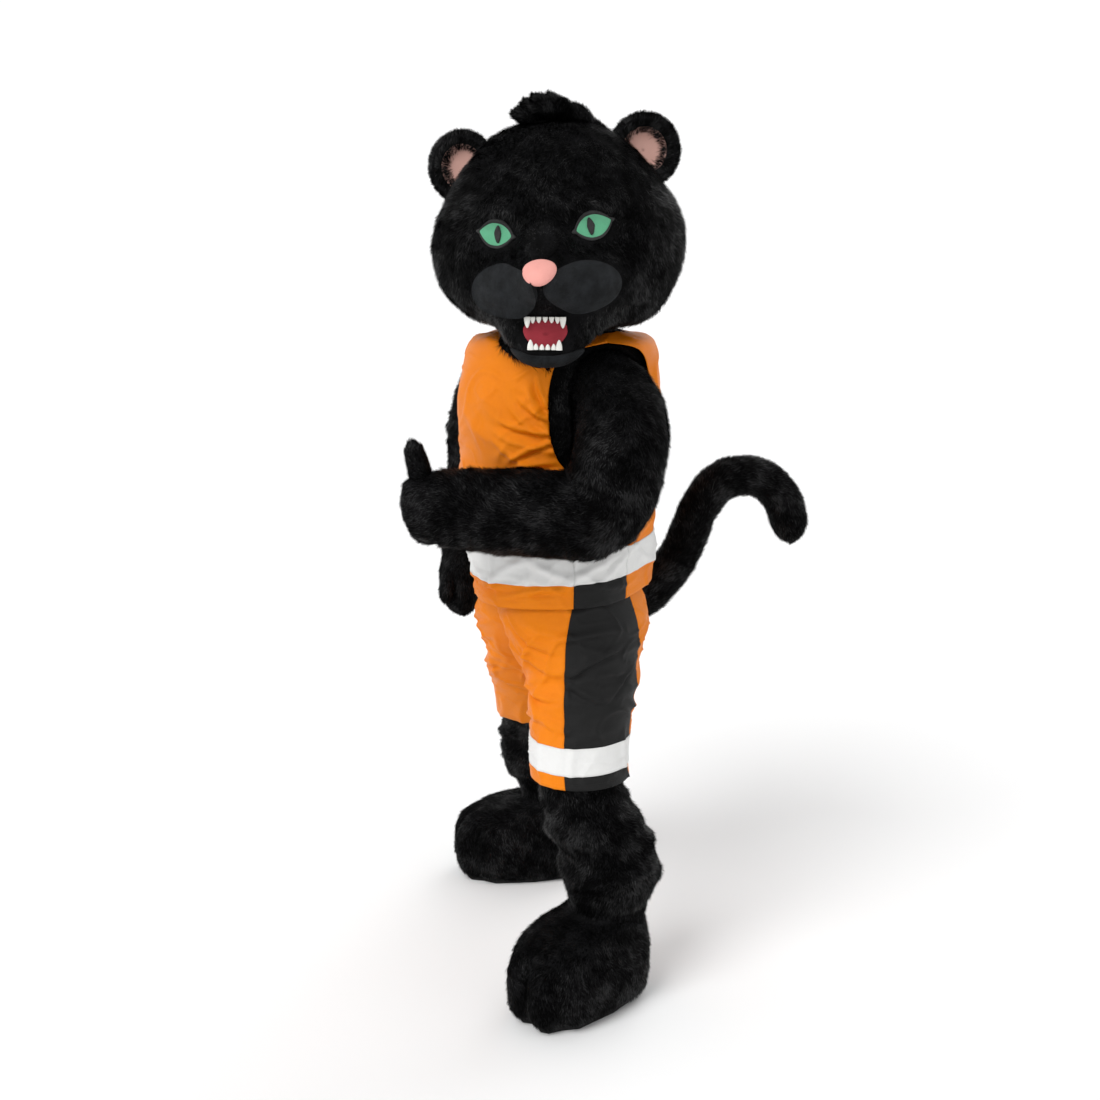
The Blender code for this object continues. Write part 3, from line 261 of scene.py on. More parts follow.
def grey(value, tint=(1, 1, 1)):
    """One value for red, green and blue, each times its share of the tint."""
    return (value * tint[0], value * tint[1], value * tint[2], 1)


def plush_painted_sheen_look(wire):
    """Short pile: soft light and dark clumps, with a fine grain. The lighter, blue-tinted clumps
    are painted sheen: they stand for the patchy highlights of black pile.
    """
    clump = wire.noise(26, 5.0, 0.62).ramp((0.36, 0.0), (0.66, 1.0))
    grain = wire.noise(520, 3.0, 0.6)
    # Painted sheen: the clumps run from black to a lighter blue-grey.
    colour = (clump * 0.75 + grain * 0.25).between(grey(0.0015), grey(0.009, (1, 1, 1.1)))
    height = clump * 0.4 + grain
    return {"Base Color": colour, "Normal": bumped(wire, height, 0.004, 0.9)}


def fleece_look(wire):
    """Short fleece: a sharp grain and soft clouding."""
    grain = wire.noise(700, 3.0, 0.7).ramp((0.34, 0.0), (0.68, 1.0))
    cloud = wire.noise(34, 4.0, 0.6).ramp((0.36, 0.0), (0.66, 1.0))
    colour = (cloud * 0.5 + grain * 0.5).between((0.0025, 0.003, 0.0035, 1),
                                                 (0.028, 0.031, 0.035, 1))
    return {"Base Color": colour, "Normal": bumped(wire, grain + cloud * 0.6, 0.0024, 0.9)}


def felt_look(low, high, scale=1100):
    """Felt, foam or rubber between two colours: a fine grain and soft clouding."""

    def build(wire):
        grain = wire.noise(scale, 3.0, 0.7)
        cloud = wire.noise(40, 2.0, 0.5)
        colour = (cloud * 0.4 + grain * 0.6).between(low, high)
        return {"Base Color": colour, "Normal": bumped(wire, grain, 0.0012, 0.7)}

    return build


WARP, WEFT = 5200.0, 3600.0  # radians to the metre of cloth, one thread to each turn


def satin_look(low, high, rough=0.42):
    """Woven satin: fine threads across and along, in cloth coordinates, and soft clouding."""

    def build(wire):
        cloth = wire.coordinates("UV")
        warp = (cloth.axis(0) * WARP).sine()
        weft = (cloth.axis(1) * WEFT).sine()
        cloud = wire.noise(14, 4.0, 0.55)
        nap = wire.noise(160, 2.0, 0.5)
        colour = (cloud * 0.7 + nap * 0.3).between(low, high)
        height = warp * 0.25 + weft * 0.45 + nap * 0.6
        return {
            "Base Color": colour,
            "Roughness": cloud * 0.16 + (rough - 0.08),
            "Normal": bumped(wire, height, 0.0005, 0.5),
        }

    return build


CLOTH = {"Roughness": 0.48, "Specular IOR Level": 0.14}
plush = finish("black_plush_backing", {"Roughness": 0.9, "Specular IOR Level": 0.06}, plush_painted_sheen_look)
fleece = finish(
    "charcoal_fleece", {"Roughness": 0.92, "Specular IOR Level": 0.10, "Sheen Weight": 0.03},
    fleece_look,
)
pink = finish("pink_fleece", {"Roughness": 0.9, "Sheen Weight": 0.3},
              felt_look((0.50, 0.27, 0.22, 1), (0.70, 0.42, 0.36, 1)))
nose_pink = finish("pink_nose", {"Roughness": 0.75, "Specular IOR Level": 0.3},
                   felt_look((0.70, 0.29, 0.25, 1), (0.88, 0.42, 0.37, 1), 700))
red = finish("red_felt", {"Roughness": 0.9},
             felt_look((0.16, 0.010, 0.016, 1), (0.42, 0.03, 0.05, 1)))
white = finish("tooth_foam", {"Roughness": 0.45, "Coat Weight": 0.1},
               felt_look((0.66, 0.65, 0.60, 1), (0.84, 0.83, 0.79, 1), 260))
green = finish("green_eye", {"Roughness": 0.30, "Coat Weight": 0.35, "Coat Roughness": 0.12},
               felt_look((0.035, 0.24, 0.115, 1), (0.10, 0.45, 0.24, 1), 700))
gauze = finish("grey_gauze", {"Roughness": 0.85, "Specular IOR Level": 0.15},
               felt_look(grey(0.010), grey(0.060), 1400))
orange = finish("orange_satin", CLOTH,
                satin_look((0.68, 0.160, 0.0015, 1), (0.86, 0.245, 0.0035, 1)))
black = finish("black_satin", {**CLOTH, "Specular IOR Level": 0.16},
               satin_look(grey(0.005), grey(0.012), 0.5))
ivory = finish("white_satin", CLOTH, satin_look((0.68, 0.68, 0.67, 1), (0.80, 0.80, 0.79, 1)))
rubber = finish("sole_rubber", {"Roughness": 0.8, "Specular IOR Level": 0.2},
                felt_look(grey(0.008), grey(0.022), 300))
# Each satin with its slot, for panels and for stitches.
SATINS = {"orange": (orange, "orange_satin"), "black": (black, "black_satin"),
          "white": (ivory, "white_satin")}


# Surfaces to pieces.


SAME_PLACE = 2e-6  # metres


def put(name, points, faces, body, look, slot, stands_for=(), cloth=None, merged=False):
    """A piece from an array of points and one of faces, lowered so that the neck is the origin.
    cloth holds the places on the flat cloth of each face corner, in metres."""
    mesh = bpy.data.meshes.new(name)
    lowered = points.reshape(-1, 3) - np.array([0.0, 0.0, NECK_HEIGHT])
    corners = faces.shape[1]
    mesh.vertices.add(len(lowered))
    mesh.vertices.foreach_set("co", lowered.astype(np.float32).ravel())
    mesh.loops.add(faces.size)
    mesh.loops.foreach_set("vertex_index", faces.astype(np.int32).ravel())
    mesh.polygons.add(len(faces))
    mesh.polygons.foreach_set("loop_start", np.arange(0, faces.size, corners, dtype=np.int32))
    mesh.polygons.foreach_set("use_smooth", np.ones(len(faces), dtype=bool))
    if cloth is not None:
        mesh.uv_layers.new(name="cloth").data.foreach_set("uv", cloth.astype(np.float32).ravel())
    mesh.update(calc_edges=True)
    if merged:
        work = bmesh.new()
        work.from_mesh(mesh)
        bmesh.ops.remove_doubles(work, verts=work.verts, dist=SAME_PLACE)
        bmesh.ops.recalc_face_normals(work, faces=work.faces)
        work.to_mesh(mesh)
        work.free()
    mesh.validate()
    obj = bpy.data.objects.new(name, mesh)
    bpy.context.scene.collection.objects.link(obj)
    for each in look if isinstance(look, list) else [look]:
        mesh.materials.append(each)
    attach(obj, body)
    if stands_for:
        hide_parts(*stands_for)
    return obj


def woven(rows, columns, closed, side=1):
    """Faces of a grid of points, four corners each, and the grid step of each corner."""
    number = np.arange(rows * columns).reshape(rows, columns)
    if closed:
        number = np.concatenate([number, number[:, :1]], axis=1)
    step = np.stack(np.meshgrid(np.arange(number.shape[1]), np.arange(rows)), axis=-1)
    picks = (np.s_[:-1, :-1], np.s_[:-1, 1:], np.s_[1:, 1:], np.s_[1:, :-1])
    picks = picks if side > 0 else picks[::-1]
    faces = np.stack([number[p] for p in picks], axis=-1).reshape(-1, 4)
    steps = np.stack([step[p] for p in picks], axis=-2).reshape(-1, 4, 2)
    return faces, steps


def lengths(points):
    """The longest row, the mean column and the area of a grid of points."""
    across = np.linalg.norm(np.diff(points, axis=1), axis=-1).sum(axis=1)
    along = np.linalg.norm(np.diff(points, axis=0), axis=-1).sum(axis=0)
    a, b = np.diff(points, axis=1)[:-1], np.diff(points, axis=0)[:, :-1]
    return across.max(), along.max(), np.linalg.norm(np.cross(a, b), axis=-1).sum()


def skin(name, points, out, thick, body, look, slot, stands_for, closed=False, side=1,
         held=None, rests=(), keep=None):
    """A thin closed shell: the grid of points, the same grid moved in by its thickness, and
    rims between their open edges. keep picks the cells that stay. held is not used."""
    whole = np.concatenate([points, points[:, :1]], axis=1) if closed else points
    wide, tall, area = lengths(whole)
    rows, columns = points.shape[:2]
    faces, steps = woven(rows, columns, closed, side)
    if keep is not None:
        faces, steps = faces[keep.ravel()], steps[keep.ravel()]
        area = area * keep.mean()
    count = rows * columns
    scale = np.array([wide / (columns - (not closed)), tall / (rows - 1)])
    start, end = faces.ravel(), np.roll(faces, -1, axis=1).ravel()
    lone = ~np.isin(start * count + end, end * count + start)
    start, end = start[lone], end[lone]
    rims = np.stack([end, start, start + count, end + count], axis=-1)
    every = np.concatenate([faces, faces[:, ::-1] + count, rims])
    cloth = np.concatenate([steps, steps[:, ::-1], np.zeros((len(rims), 4, 2))]) * scale
    both = np.concatenate([points.reshape(-1, 3), (points - out * thick).reshape(-1, 3)])
    if keep is not None:
        used, every = np.unique(every, return_inverse=True)
        both, every = both[used], every.reshape(-1, 4)
    obj = put(name, both, every, body, look, slot, stands_for, cloth)
    return obj


# Jersey.

JERSEY_ROWS = [
    (0.00, 0.913, 0.205, 0.203, 0.200),
    (0.08, 0.967, 0.206, 0.207, 0.203),
    (0.18, 1.038, 0.203, 0.212, 0.206),
    (0.34, 1.150, 0.198, 0.218, 0.212),
    (0.50, 1.250, 0.196, 0.228, 0.220),
    (0.65, 1.350, 0.200, 0.232, 0.226),
    (0.76, 1.432, 0.203, 0.220, 0.216),
    (0.84, 1.474, 0.200, 0.204, 0.204),
    (0.876, 1.487, 0.186, 0.188, 0.188),
    (0.93, 1.4964, 0.142, 0.142, 0.142),
    (1.00, 1.4996, 0.130, 0.130, 0.130),
]
JERSEY_GIRTH = 0.21
HEM_LIFT = 0.030  # the tail holds the jersey's hem up behind
FLARE = 0.006  # how far the waves of the hem stand out
# Up the jersey's profile: its band, and where the armholes start.
BAND_LOW, BAND_HIGH, ARMHOLE = 0.08, 0.18, 0.42
SHARPER, SHARPER_FAR = 1.7, 1.1  # the creases of the jersey and the near leg, and of the far leg

# Around from the front middle and up, direction, half length, half width, depth.
JERSEY_FOLDS = hand_placed(1000, [
    (120, 1240, 152, 120, 220, 80), (90, 1310, 126, 110, 220, 70), (50, 1170, 170, 130, 240, 70),
    (-70, 1340, 62, 130, 280, 60), (-130, 1180, 20, 120, 260, 60), (0, 1080, 3, 150, 220, 50),
    (280, 1110, 160, 100, 240, 60), (-300, 1110, 24, 120, 240, 60), (520, 1180, 170, 120, 260, 70),
    (-520, 1230, 14, 130, 260, 70), (610, 1090, 6, 130, 240, 60), (450, 1330, 70, 120, 280, 60),
    (-440, 1340, 112, 120, 280, 60),
])


def ring(u, half, front, back):
    """x, y of a level oval at the angle u: half wide, its depth going from front to back by the
    cosine of u."""
    depth = (front + back) / 2 + (front - back) / 2 * np.cos(u)
    reach = 1 / np.hypot(np.sin(u) / half, np.cos(u) / depth)
    return reach * np.sin(u), -reach * np.cos(u)


# Sharper creases than the solid holds: they pull from the near armhole and the
# elbow, lie across the waist and slant over the white band. Columns as for the folds.
JERSEY_CREASES = hand_placed(1000, [
    (150, 1275, 165, 90, 75, 45), (145, 1235, 150, 85, 70, 50), (135, 1205, 20, 80, 65, 50),
    (150, 1315, 140, 60, 70, 40), (165, 1345, 118, 60, 80, 45), (60, 1290, 158, 80, 120, 25),
    (20, 1210, 172, 90, 110, 25), (-60, 1270, 36, 70, 110, 25), (-130, 1330, 68, 70, 100, 28),
    (-100, 1120, 12, 80, 100, 30), (30, 1060, 176, 100, 90, 30), (-60, 985, 84, 45, 80, 26),
    (50, 990, 96, 50, 70, 30), (140, 985, 82, 48, 80, 26), (-160, 1000, 100, 50, 80, 26),
    (240, 1000, 78, 50, 75, 30), (300, 1030, 108, 60, 80, 30), (330, 1120, 150, 70, 100, 30),
    (300, 1190, 24, 60, 90, 35), (-300, 1060, 30, 60, 90, 30), (-330, 1150, 158, 65, 90, 32),
    (-260, 985, 88, 45, 80, 26), (420, 1060, 20, 70, 90, 35), (470, 1240, 108, 80, 100, 30),
    (520, 1150, 165, 80, 95, 32), (560, 1300, 78, 80, 100, 28), (600, 1020, 100, 50, 85, 28),
    (-430, 1080, 155, 75, 95, 32), (-470, 1260, 70, 80, 100, 30), (-540, 1170, 12, 80, 95, 32),
    (-590, 1320, 104, 80, 100, 26), (-500, 1000, 84, 48, 85, 28), (390, 1360, 116, 60, 80, 35),
    (-390, 1360, 62, 60, 80, 35), (-110, 1000, 28, 70, 90, 40), (-10, 985, 152, 65, 85, 36),
    (95, 1005, 30, 75, 85, 42), (185, 1000, 152, 60, 80, 36), (275, 995, 26, 80, 85, 44),
    (360, 1010, 32, 75, 85, 42), (450, 990, 150, 70, 85, 36), (560, 1005, 26, 75, 90, 38),
    (-210, 1005, 154, 70, 85, 38), (-340, 995, 24, 75, 85, 40), (-450, 1005, 148, 70, 85, 36),
    (-570, 995, 22, 75, 90, 38),
])
# Narrow pleats at the armholes, each a valley with a ridge over it.
JERSEY_PLEATS = hand_placed(1000, [
    (150, 1258, 26, 62, 55, -65), (153, 1270, 25, 58, 55, 70), (148, 1298, 170, 62, 52, -60),
    (150, 1309, 170, 58, 52, 65), (160, 1338, 150, 46, 50, -55), (164, 1348, 150, 44, 50, 60),
    (166, 1380, 112, 36, 50, -50), (175, 1384, 112, 36, 50, 55), (140, 1225, 12, 60, 60, -55),
    (142, 1236, 12, 58, 60, 60), (-150, 1262, 156, 60, 55, -60), (-152, 1273, 156, 56, 55, 65),
    (-148, 1305, 12, 58, 52, -55), (-150, 1316, 12, 54, 52, 60), (-162, 1350, 34, 45, 50, -50),
    (-166, 1360, 34, 43, 50, 55), (20, 948, 176, 90, 60, -50), (22, 959, 176, 85, 60, 55),
    (150, 944, 6, 70, 60, -45), (152, 955, 6, 65, 60, 50), (-90, 945, 18, 60, 60, -50),
    (-92, 956, 18, 56, 60, 55), (340, 950, 170, 70, 65, 50), (-300, 950, 12, 70, 65, 50),
    (480, 1270, 158, 60, 75, -55), (482, 1283, 158, 56, 75, 60), (-480, 1290, 22, 60, 75, -55),
    (-482, 1303, 22, 56, 75, 60),
])


def jersey(u, w):
    """The jersey at the angle u and the place w up its profile: a level oval, swelled by its
    folds below the shoulders and flared in five waves at the hem, which rises behind."""
    z, half, front, back = sections(w, JERSEY_ROWS)
    girth = wrapped(u) * JERSEY_GIRTH
    loose = 1 - fade(w, 0.72, 0.86)
    swell = folds(girth, z, JERSEY_FOLDS) * loose
    creased = SHARPER * folds(girth, z, JERSEY_CREASES) + folds(girth, z, JERSEY_PLEATS)
    swell = swell + creased * (1 - fade(w, 0.74, 0.84))
    flare = FLARE * np.sin(5 * u + 0.6) * (1 - fade(w, 0.0, 0.30))
    x, y = ring(u, half + swell + flare, front + swell + flare, back + swell + flare)
    z = z + HEM_LIFT * (1 - np.cos(u)) / 2 * (1 - fade(w, 0.05, 0.40))
    return xyz(x, y, z)


SIDES = (("left", 1), ("right", -1))
SIDE_FRONT, SIDE_BACK = math.radians(66), math.radians(102)
# How far round each edge of the jersey's body runs, in degrees, at places up the profile.
FRONT_EDGE = [
    (0.00, 66), (0.42, 66), (0.455, 62), (0.50, 56), (0.58, 52), (0.68, 51), (0.77, 54),
    (0.82, 60), (0.855, 70), (0.872, 82), (0.876, 90), (1.00, 90),
]
BACK_EDGE = [
    (0.00, 102), (0.42, 102), (0.455, 108), (0.50, 116), (0.58, 122), (0.68, 124),
    (0.77, 121), (0.82, 115), (0.855, 106), (0.872, 97), (0.876, 90), (1.00, 90),
]
ARMHOLE_DIP = 0.045


def jersey_front(columns, rows):
    a, w = places(columns, rows)
    edge = np.radians(smooth(w, FRONT_EDGE)[..., 0])
    return a * edge, w


def jersey_back(columns, rows):
    a, w = places(columns, rows)
    edge = np.radians(smooth(w, BACK_EDGE)[..., 0])
    return math.pi + a * (math.pi - edge), w


def jersey_side(columns, rows, sign):
    a, w = places(columns, rows)
    u = SIDE_FRONT + (SIDE_BACK - SIDE_FRONT) * a
    dip = ARMHOLE_DIP * np.sin(math.pi * a) * fade(w, 0.30, ARMHOLE)
    return (u if sign > 0 else -u[:, ::-1]), (w - dip if sign > 0 else (w - dip)[:, ::-1])


# Small creases of the satin: their size, height, and width as a share of the wandering number.
CRINKLE_SIZE, CRINKLE_HIGH, CRINKLE_WIDE = 0.16, 0.0042, 0.15


def crinkles(points):
    """How far the satin stands out: soft ridges along the lines where a wandering number is
    nought, in patches where a third one is high, and finer ridges between the patches."""
    along = points * (1.0, 1.0, 1.9)
    ridge = np.exp(-((drift(along, CRINKLE_SIZE, 51) / CRINKLE_WIDE) ** 2))
    finer = np.exp(-((drift(along, CRINKLE_SIZE * 0.7, 52) / CRINKLE_WIDE) ** 2))
    here = fade(drift(points, 0.20, 53), -0.7, 0.5)
    return CRINKLE_HIGH * (ridge * here + 0.6 * finer * (1.15 - here))


def trimmed(surface, u, v):
    """The grid with its first and last columns moved in by SEAM, measured on the surface
    square to the column."""
    u, e = u.copy(), 1e-4
    for column, sign in ((0, 1), (-1, -1)):
        a, b = u[:, column], v[:, column]
        du = (surface(a + e, b) - surface(a - e, b)) / (2 * e)
        dv = (surface(a, b + e) - surface(a, b - e)) / (2 * e)
        pace = np.linalg.norm(np.cross(du, dv), axis=-1) / np.linalg.norm(dv, axis=-1)
        u[:, column] += sign * SEAM / pace
    return u, v


def levels(count, low=0.0, high=1.0):
    """Even places from low to high."""
    return np.linspace(low, high, count)


def worn(name, surface, grid, kind, stands_for, side=1, lift=0.0, thick=SATIN,
         rests=("suit_front_plush", "suit_back_plush")):
    """A panel of the jersey or the shorts: a skin on surface(u, v) at a grid of places, with
    its small creases, lifted along its normals."""
    points, out = outward(surface, *grid, side)
    points = points + out * crinkles(points)[..., None]
    skin(name, points + out * lift, out, thick, "suit", *SATINS[kind], stands_for, side=side,
         held="hung", rests=rests)


def banded(grid):
    """The rows of a grid of the jersey that its band covers."""
    u, v = grid
    level = v[:, len(v[0]) // 2]
    keep = (level >= BAND_LOW - 1e-9) & (level <= BAND_HIGH + 1e-9)
    return u[keep], v[keep]


jersey_low = np.concatenate([
    levels(13, 0, BAND_LOW)[:-1], levels(14, BAND_LOW, BAND_HIGH)[:-1],
    levels(24, BAND_HIGH, ARMHOLE)[:-1],
])
jersey_high = np.concatenate([levels(10, 0.82, 0.93)[:-1], levels(5, 0.93, 1.0)])
front_levels = np.concatenate([jersey_low, levels(66, ARMHOLE, 0.82)[:-1], jersey_high])
back_levels = np.concatenate([jersey_low, levels(38, ARMHOLE, 0.82)[:-1], jersey_high])
side_rows = np.append(jersey_low, ARMHOLE)
front = trimmed(jersey, *jersey_front(levels(115, -1, 1), front_levels))
back = trimmed(jersey, *jersey_back(levels(91, -1, 1), back_levels))
worn("jersey_front_satin", jersey, front, "orange", ["jersey_front"])
worn("jersey_back_satin", jersey, back, "orange", ["jersey_back"])
for name, grid in (("front", front), ("back", back)):
    worn(f"jersey_band_{name}_satin", jersey, banded(grid), "white",
         [f"jersey_band_{name}"], lift=LIFT + BAND, thick=BAND, rests=[f"jersey_{name}_satin"])
for label, sign in SIDES:
    grid = trimmed(jersey, *jersey_side(levels(25, 0, 1), side_rows, sign))
    worn(f"jersey_side_{label}_satin", jersey, grid, "black", [f"jersey_side_{label}"])
    worn(f"jersey_band_{label}_satin", jersey, banded(grid), "white",
         [f"jersey_band_{label}"], lift=LIFT + BAND, thick=BAND,
         rests=[f"jersey_side_{label}_satin"])


# Sleeves and mitts.


def tube(table, side_axis, relief=None):
    """surface(u, t) round a path. Rows: place, x, y, z, radius across, radius along."""
    axis = np.asarray(side_axis, float) / np.linalg.norm(side_axis)

    def surface(u, t):
        centre, radii = path(t, table)[..., :3], smooth(t, table)[..., 3:]
        across, along = radii[..., :1], radii[..., 1:]
        e = 1e-3
        ahead = path(t + e, table)[..., :3] - path(t - e, table)[..., :3]
        ahead = ahead / np.linalg.norm(ahead, axis=-1, keepdims=True)
        beside = axis - ahead * (ahead @ axis)[..., None]
        beside = beside / np.linalg.norm(beside, axis=-1, keepdims=True)
        over = np.cross(ahead, beside)
        extra = 0.0 if relief is None else relief(u, t)[..., None]
        return (
            centre
            + beside * (across + extra) * np.cos(u)[..., None]
            + over * (along + extra) * np.sin(u)[..., None]
        )

    return surface


# Place, x, y, z, radius square to the bend, radius in the bend.
LEFT_ARM = [
    (0.00, 0.150, 0.000, 1.402, 0.074, 0.070),
    (0.08, 0.203, -0.008, 1.390, 0.084, 0.084),
    (0.18, 0.262, -0.022, 1.348, 0.090, 0.095),
    (0.26, 0.298, -0.040, 1.302, 0.090, 0.097),
    (0.34, 0.311, -0.057, 1.253, 0.090, 0.096),
    (0.42, 0.308, -0.070, 1.203, 0.088, 0.097),
    (0.51, 0.286, -0.101, 1.160, 0.085, 0.096),
    (0.60, 0.254, -0.148, 1.150, 0.082, 0.090),
    (0.71, 0.211, -0.210, 1.152, 0.080, 0.089),
    (0.82, 0.167, -0.273, 1.155, 0.077, 0.087),
    (0.93, 0.1245, -0.3326, 1.158, 0.070, 0.081),
    (1.00, 0.107, -0.357, 1.159, 0.070, 0.081),
]
RIGHT_ARM = [
    (0.00, -0.150, 0.000, 1.402, 0.074, 0.070),
    (0.14, -0.200, -0.004, 1.390, 0.086, 0.084),
    (0.30, -0.262, -0.010, 1.345, 0.094, 0.092),
    (0.46, -0.298, -0.018, 1.262, 0.094, 0.092),
    (0.62, -0.308, -0.030, 1.150, 0.086, 0.088),
    (0.78, -0.304, -0.056, 1.050, 0.074, 0.080),
    (0.93, -0.2971, -0.0795, 0.978, 0.060, 0.068),
    (1.00, -0.294, -0.090, 0.950, 0.060, 0.068),
]
LEFT_AXIS, RIGHT_AXIS = (0.812, -0.584, 0.0), (0.0, -1.0, 0.0)


def arm_folds(rows):
    """Rows: angle round in degrees, place, half turn in degrees, half place, depth."""

    def relief(u, t):
        height = 0.0 * u
        for angle, place, spread, width, depth in rows:
            off = np.degrees(np.abs(wrapped(u - math.radians(angle)))) / spread
            height = height + depth * np.exp(-(off**2) - ((t - place) / width) ** 2)
        return height

    return relief


LEFT_FOLDS = [
    (200, 0.47, 60, 0.030, 0.008), (250, 0.55, 70, 0.030, 0.008), (20, 0.64, 70, 0.028, 0.006),
    (200, 0.78, 80, 0.030, 0.006), (60, 0.70, 70, 0.030, 0.005), (180, 0.28, 70, 0.035, 0.006),
]
RIGHT_FOLDS = [
    (60, 0.50, 70, 0.035, 0.006), (-120, 0.60, 70, 0.035, 0.006), (20, 0.70, 80, 0.032, 0.007),
    (150, 0.81, 80, 0.030, 0.006),
]
# Finer folds at the elbows and above the cuffs.
SLEEVE_CREASES = [
    (0, 0.455, 34, 0.0085, 0.0050), (70, 0.500, 40, 0.0085, 0.0050),
    (140, 0.475, 36, 0.0085, 0.0050), (215, 0.505, 38, 0.0085, 0.0055),
    (290, 0.480, 40, 0.0085, 0.0055), (30, 0.545, 38, 0.0085, 0.0050),
    (105, 0.565, 36, 0.0085, 0.0050), (180, 0.550, 40, 0.0085, 0.0050),
    (255, 0.580, 36, 0.0085, 0.0050), (330, 0.590, 40, 0.0085, 0.0055),
    (60, 0.880, 60, 0.0090, 0.0045), (200, 0.900, 60, 0.0090, 0.0045),
    (320, 0.870, 60, 0.0090, 0.0045),
]
LEFT_MITT = [
    (0.00, 0.1245, -0.3326, 1.158, 0.0667, 0.0777),
    (0.25, 0.107, -0.357, 1.159, 0.0667, 0.0777),
    (0.42, 0.0953, -0.3732, 1.157, 0.062, 0.073),
    (0.62, 0.0807, -0.3935, 1.151, 0.057, 0.072),
    (0.80, 0.0708, -0.4073, 1.146, 0.047, 0.062),
    (0.94, 0.0638, -0.4171, 1.143, 0.026, 0.036),
    (1.00, 0.0615, -0.4203, 1.142, 1e-8, 1e-8),
]
RIGHT_MITT = [
    (0.00, -0.2971, -0.0795, 0.978, 0.0567, 0.0647),
    (0.18, -0.294, -0.090, 0.950, 0.0567, 0.0647),
    (0.34, -0.291, -0.100, 0.925, 0.050, 0.058),
    (0.55, -0.289, -0.110, 0.890, 0.048, 0.060),
    (0.78, -0.288, -0.112, 0.850, 0.044, 0.058),
    (0.92, -0.290, -0.106, 0.820, 0.032, 0.044),
    (0.98, -0.291, -0.102, 0.805, 0.016, 0.022),
    (1.00, -0.291, -0.101, 0.800, 1e-8, 1e-8),
]


def fingers(angles, start, depth):
    """Creases between the fingers: angles round in degrees, from a place along the mitt."""

    def relief(u, t):
        height = 0.0 * u
        for angle in angles:
            off = np.degrees(wrapped(u - math.radians(angle))) / 11
            height = height - depth * np.exp(-(off**2)) * fade(t, start, start + 0.2)
        return height * (1 - fade(t, 0.90, 1.0))

    return relief


LEFT_THUMB = [
    (0.0, 0.086, -0.385, 1.202, 0.022, 0.024),
    (0.4, 0.080, -0.392, 1.240, 0.022, 0.024),
    (0.8, 0.074, -0.400, 1.280, 0.019, 0.021),
    (1.0, 0.071, -0.404, 1.299, 0.008, 0.009),
]
RIGHT_THUMB = [
    (0.0, -0.270, -0.145, 0.905, 0.018, 0.018),
    (0.4, -0.262, -0.158, 0.880, 0.019, 0.019),
    (0.8, -0.258, -0.162, 0.855, 0.016, 0.016),
    (1.0, -0.258, -0.162, 0.842, 0.007, 0.007),
]


# Legs and shorts.

LEG_ROWS = [
    (0.00, 1.00, 0.955, 0.955, 0.172, 0.165, 0.0),
    (0.10, 0.78, 0.905, 0.885, 0.136, 0.160, 0.0),
    (0.20, 0.52, 0.855, 0.822, 0.110, 0.148, 0.0),
    (0.29, 0.25, 0.810, 0.775, 0.097, 0.128, 0.0),
    (0.36, 0.00, 0.775, 0.755, 0.092, 0.112, 0.0),
    (0.45, 0.00, 0.700, 0.690, 0.089, 0.104, 0.012),
    (0.58, 0.00, 0.590, 0.590, 0.088, 0.095, 0.014),
    (0.66, 0.00, 0.520, 0.520, 0.090, 0.092, 0.014),
    (0.76, 0.00, 0.420, 0.420, 0.098, 0.098, 0.010),
    (0.86, 0.00, 0.320, 0.320, 0.104, 0.104, 0.004),
    (0.93, 0.00, 0.262, 0.262, 0.098, 0.098, 0.0),
    (1.00, 0.00, 0.222, 0.222, 0.088, 0.088, 0.0),
]
SHORTS_ROWS = [
    (0.00, 1.00, 0.953, 0.953, 0.1748, 0.1678, 0.0),
    (0.05, 0.97, 0.938, 0.938, 0.1720, 0.1720, 0.0),
    (0.20, 0.78, 0.890, 0.880, 0.1430, 0.1740, 0.0),
    (0.34, 0.50, 0.845, 0.805, 0.1160, 0.1620, 0.0),
    (0.46, 0.24, 0.800, 0.750, 0.1040, 0.1400, 0.0),
    (0.54, 0.00, 0.758, 0.725, 0.1020, 0.1250, 0.0),
    (0.70, 0.00, 0.680, 0.672, 0.1040, 0.1180, 0.0),
    (0.84, 0.00, 0.618, 0.618, 0.1060, 0.1130, 0.0),
    (0.95, 0.00, 0.560, 0.560, 0.1080, 0.1110, 0.0),
    (1.00, 0.00, 0.530, 0.530, 0.1090, 0.1110, 0.0),
]
# Height, then how far the leg's middle stands from its place under the hip.
LEFT_STANCE = [
    (0.10, 0.107, 0.006), (0.245, 0.107, 0.006), (0.32, 0.090, 0.006), (0.42, 0.070, -0.022),
    (0.53, 0.050, -0.048), (0.66, 0.024, -0.026), (0.76, 0.004, -0.004), (0.84, 0.0, 0.0),
]
RIGHT_STANCE = [
    (0.10, -0.325, 0.237), (0.245, -0.325, 0.237), (0.32, -0.276, 0.198), (0.42, -0.216, 0.145),
    (0.53, -0.146, 0.096), (0.66, -0.066, 0.040), (0.76, -0.010, 0.006), (0.84, 0.0, 0.0),
]
LEGS = (("left", 1, LEFT_STANCE), ("right", -1, RIGHT_STANCE))


def trouser(rows, stance, sign, relief=None):
    """surface(p, t): p runs round one leg, from the front middle seam by the side to the back."""

    def surface(p, t):
        seat, side_z, seam_z, half, depth, off = sections(t, rows)
        turn = p * (1 - seat / 2)
        near = (np.abs(p) / math.pi) ** 2
        z = side_z * (1 - near) + seam_z * near
        extra = 0.0 if relief is None else relief(p * sign, z, t)
        centre = half * np.cos(math.pi * seat / 2) + SEAM + off
        squeeze = 1 - fade(np.abs(p), 2.2, math.pi)
        x = centre + (half + extra * squeeze) * np.cos(turn)
        y = (depth + extra) * np.sin(turn)
        shift = smooth(z, stance)
        return xyz(sign * x + shift[..., 0], y + shift[..., 1], z)

    return surface


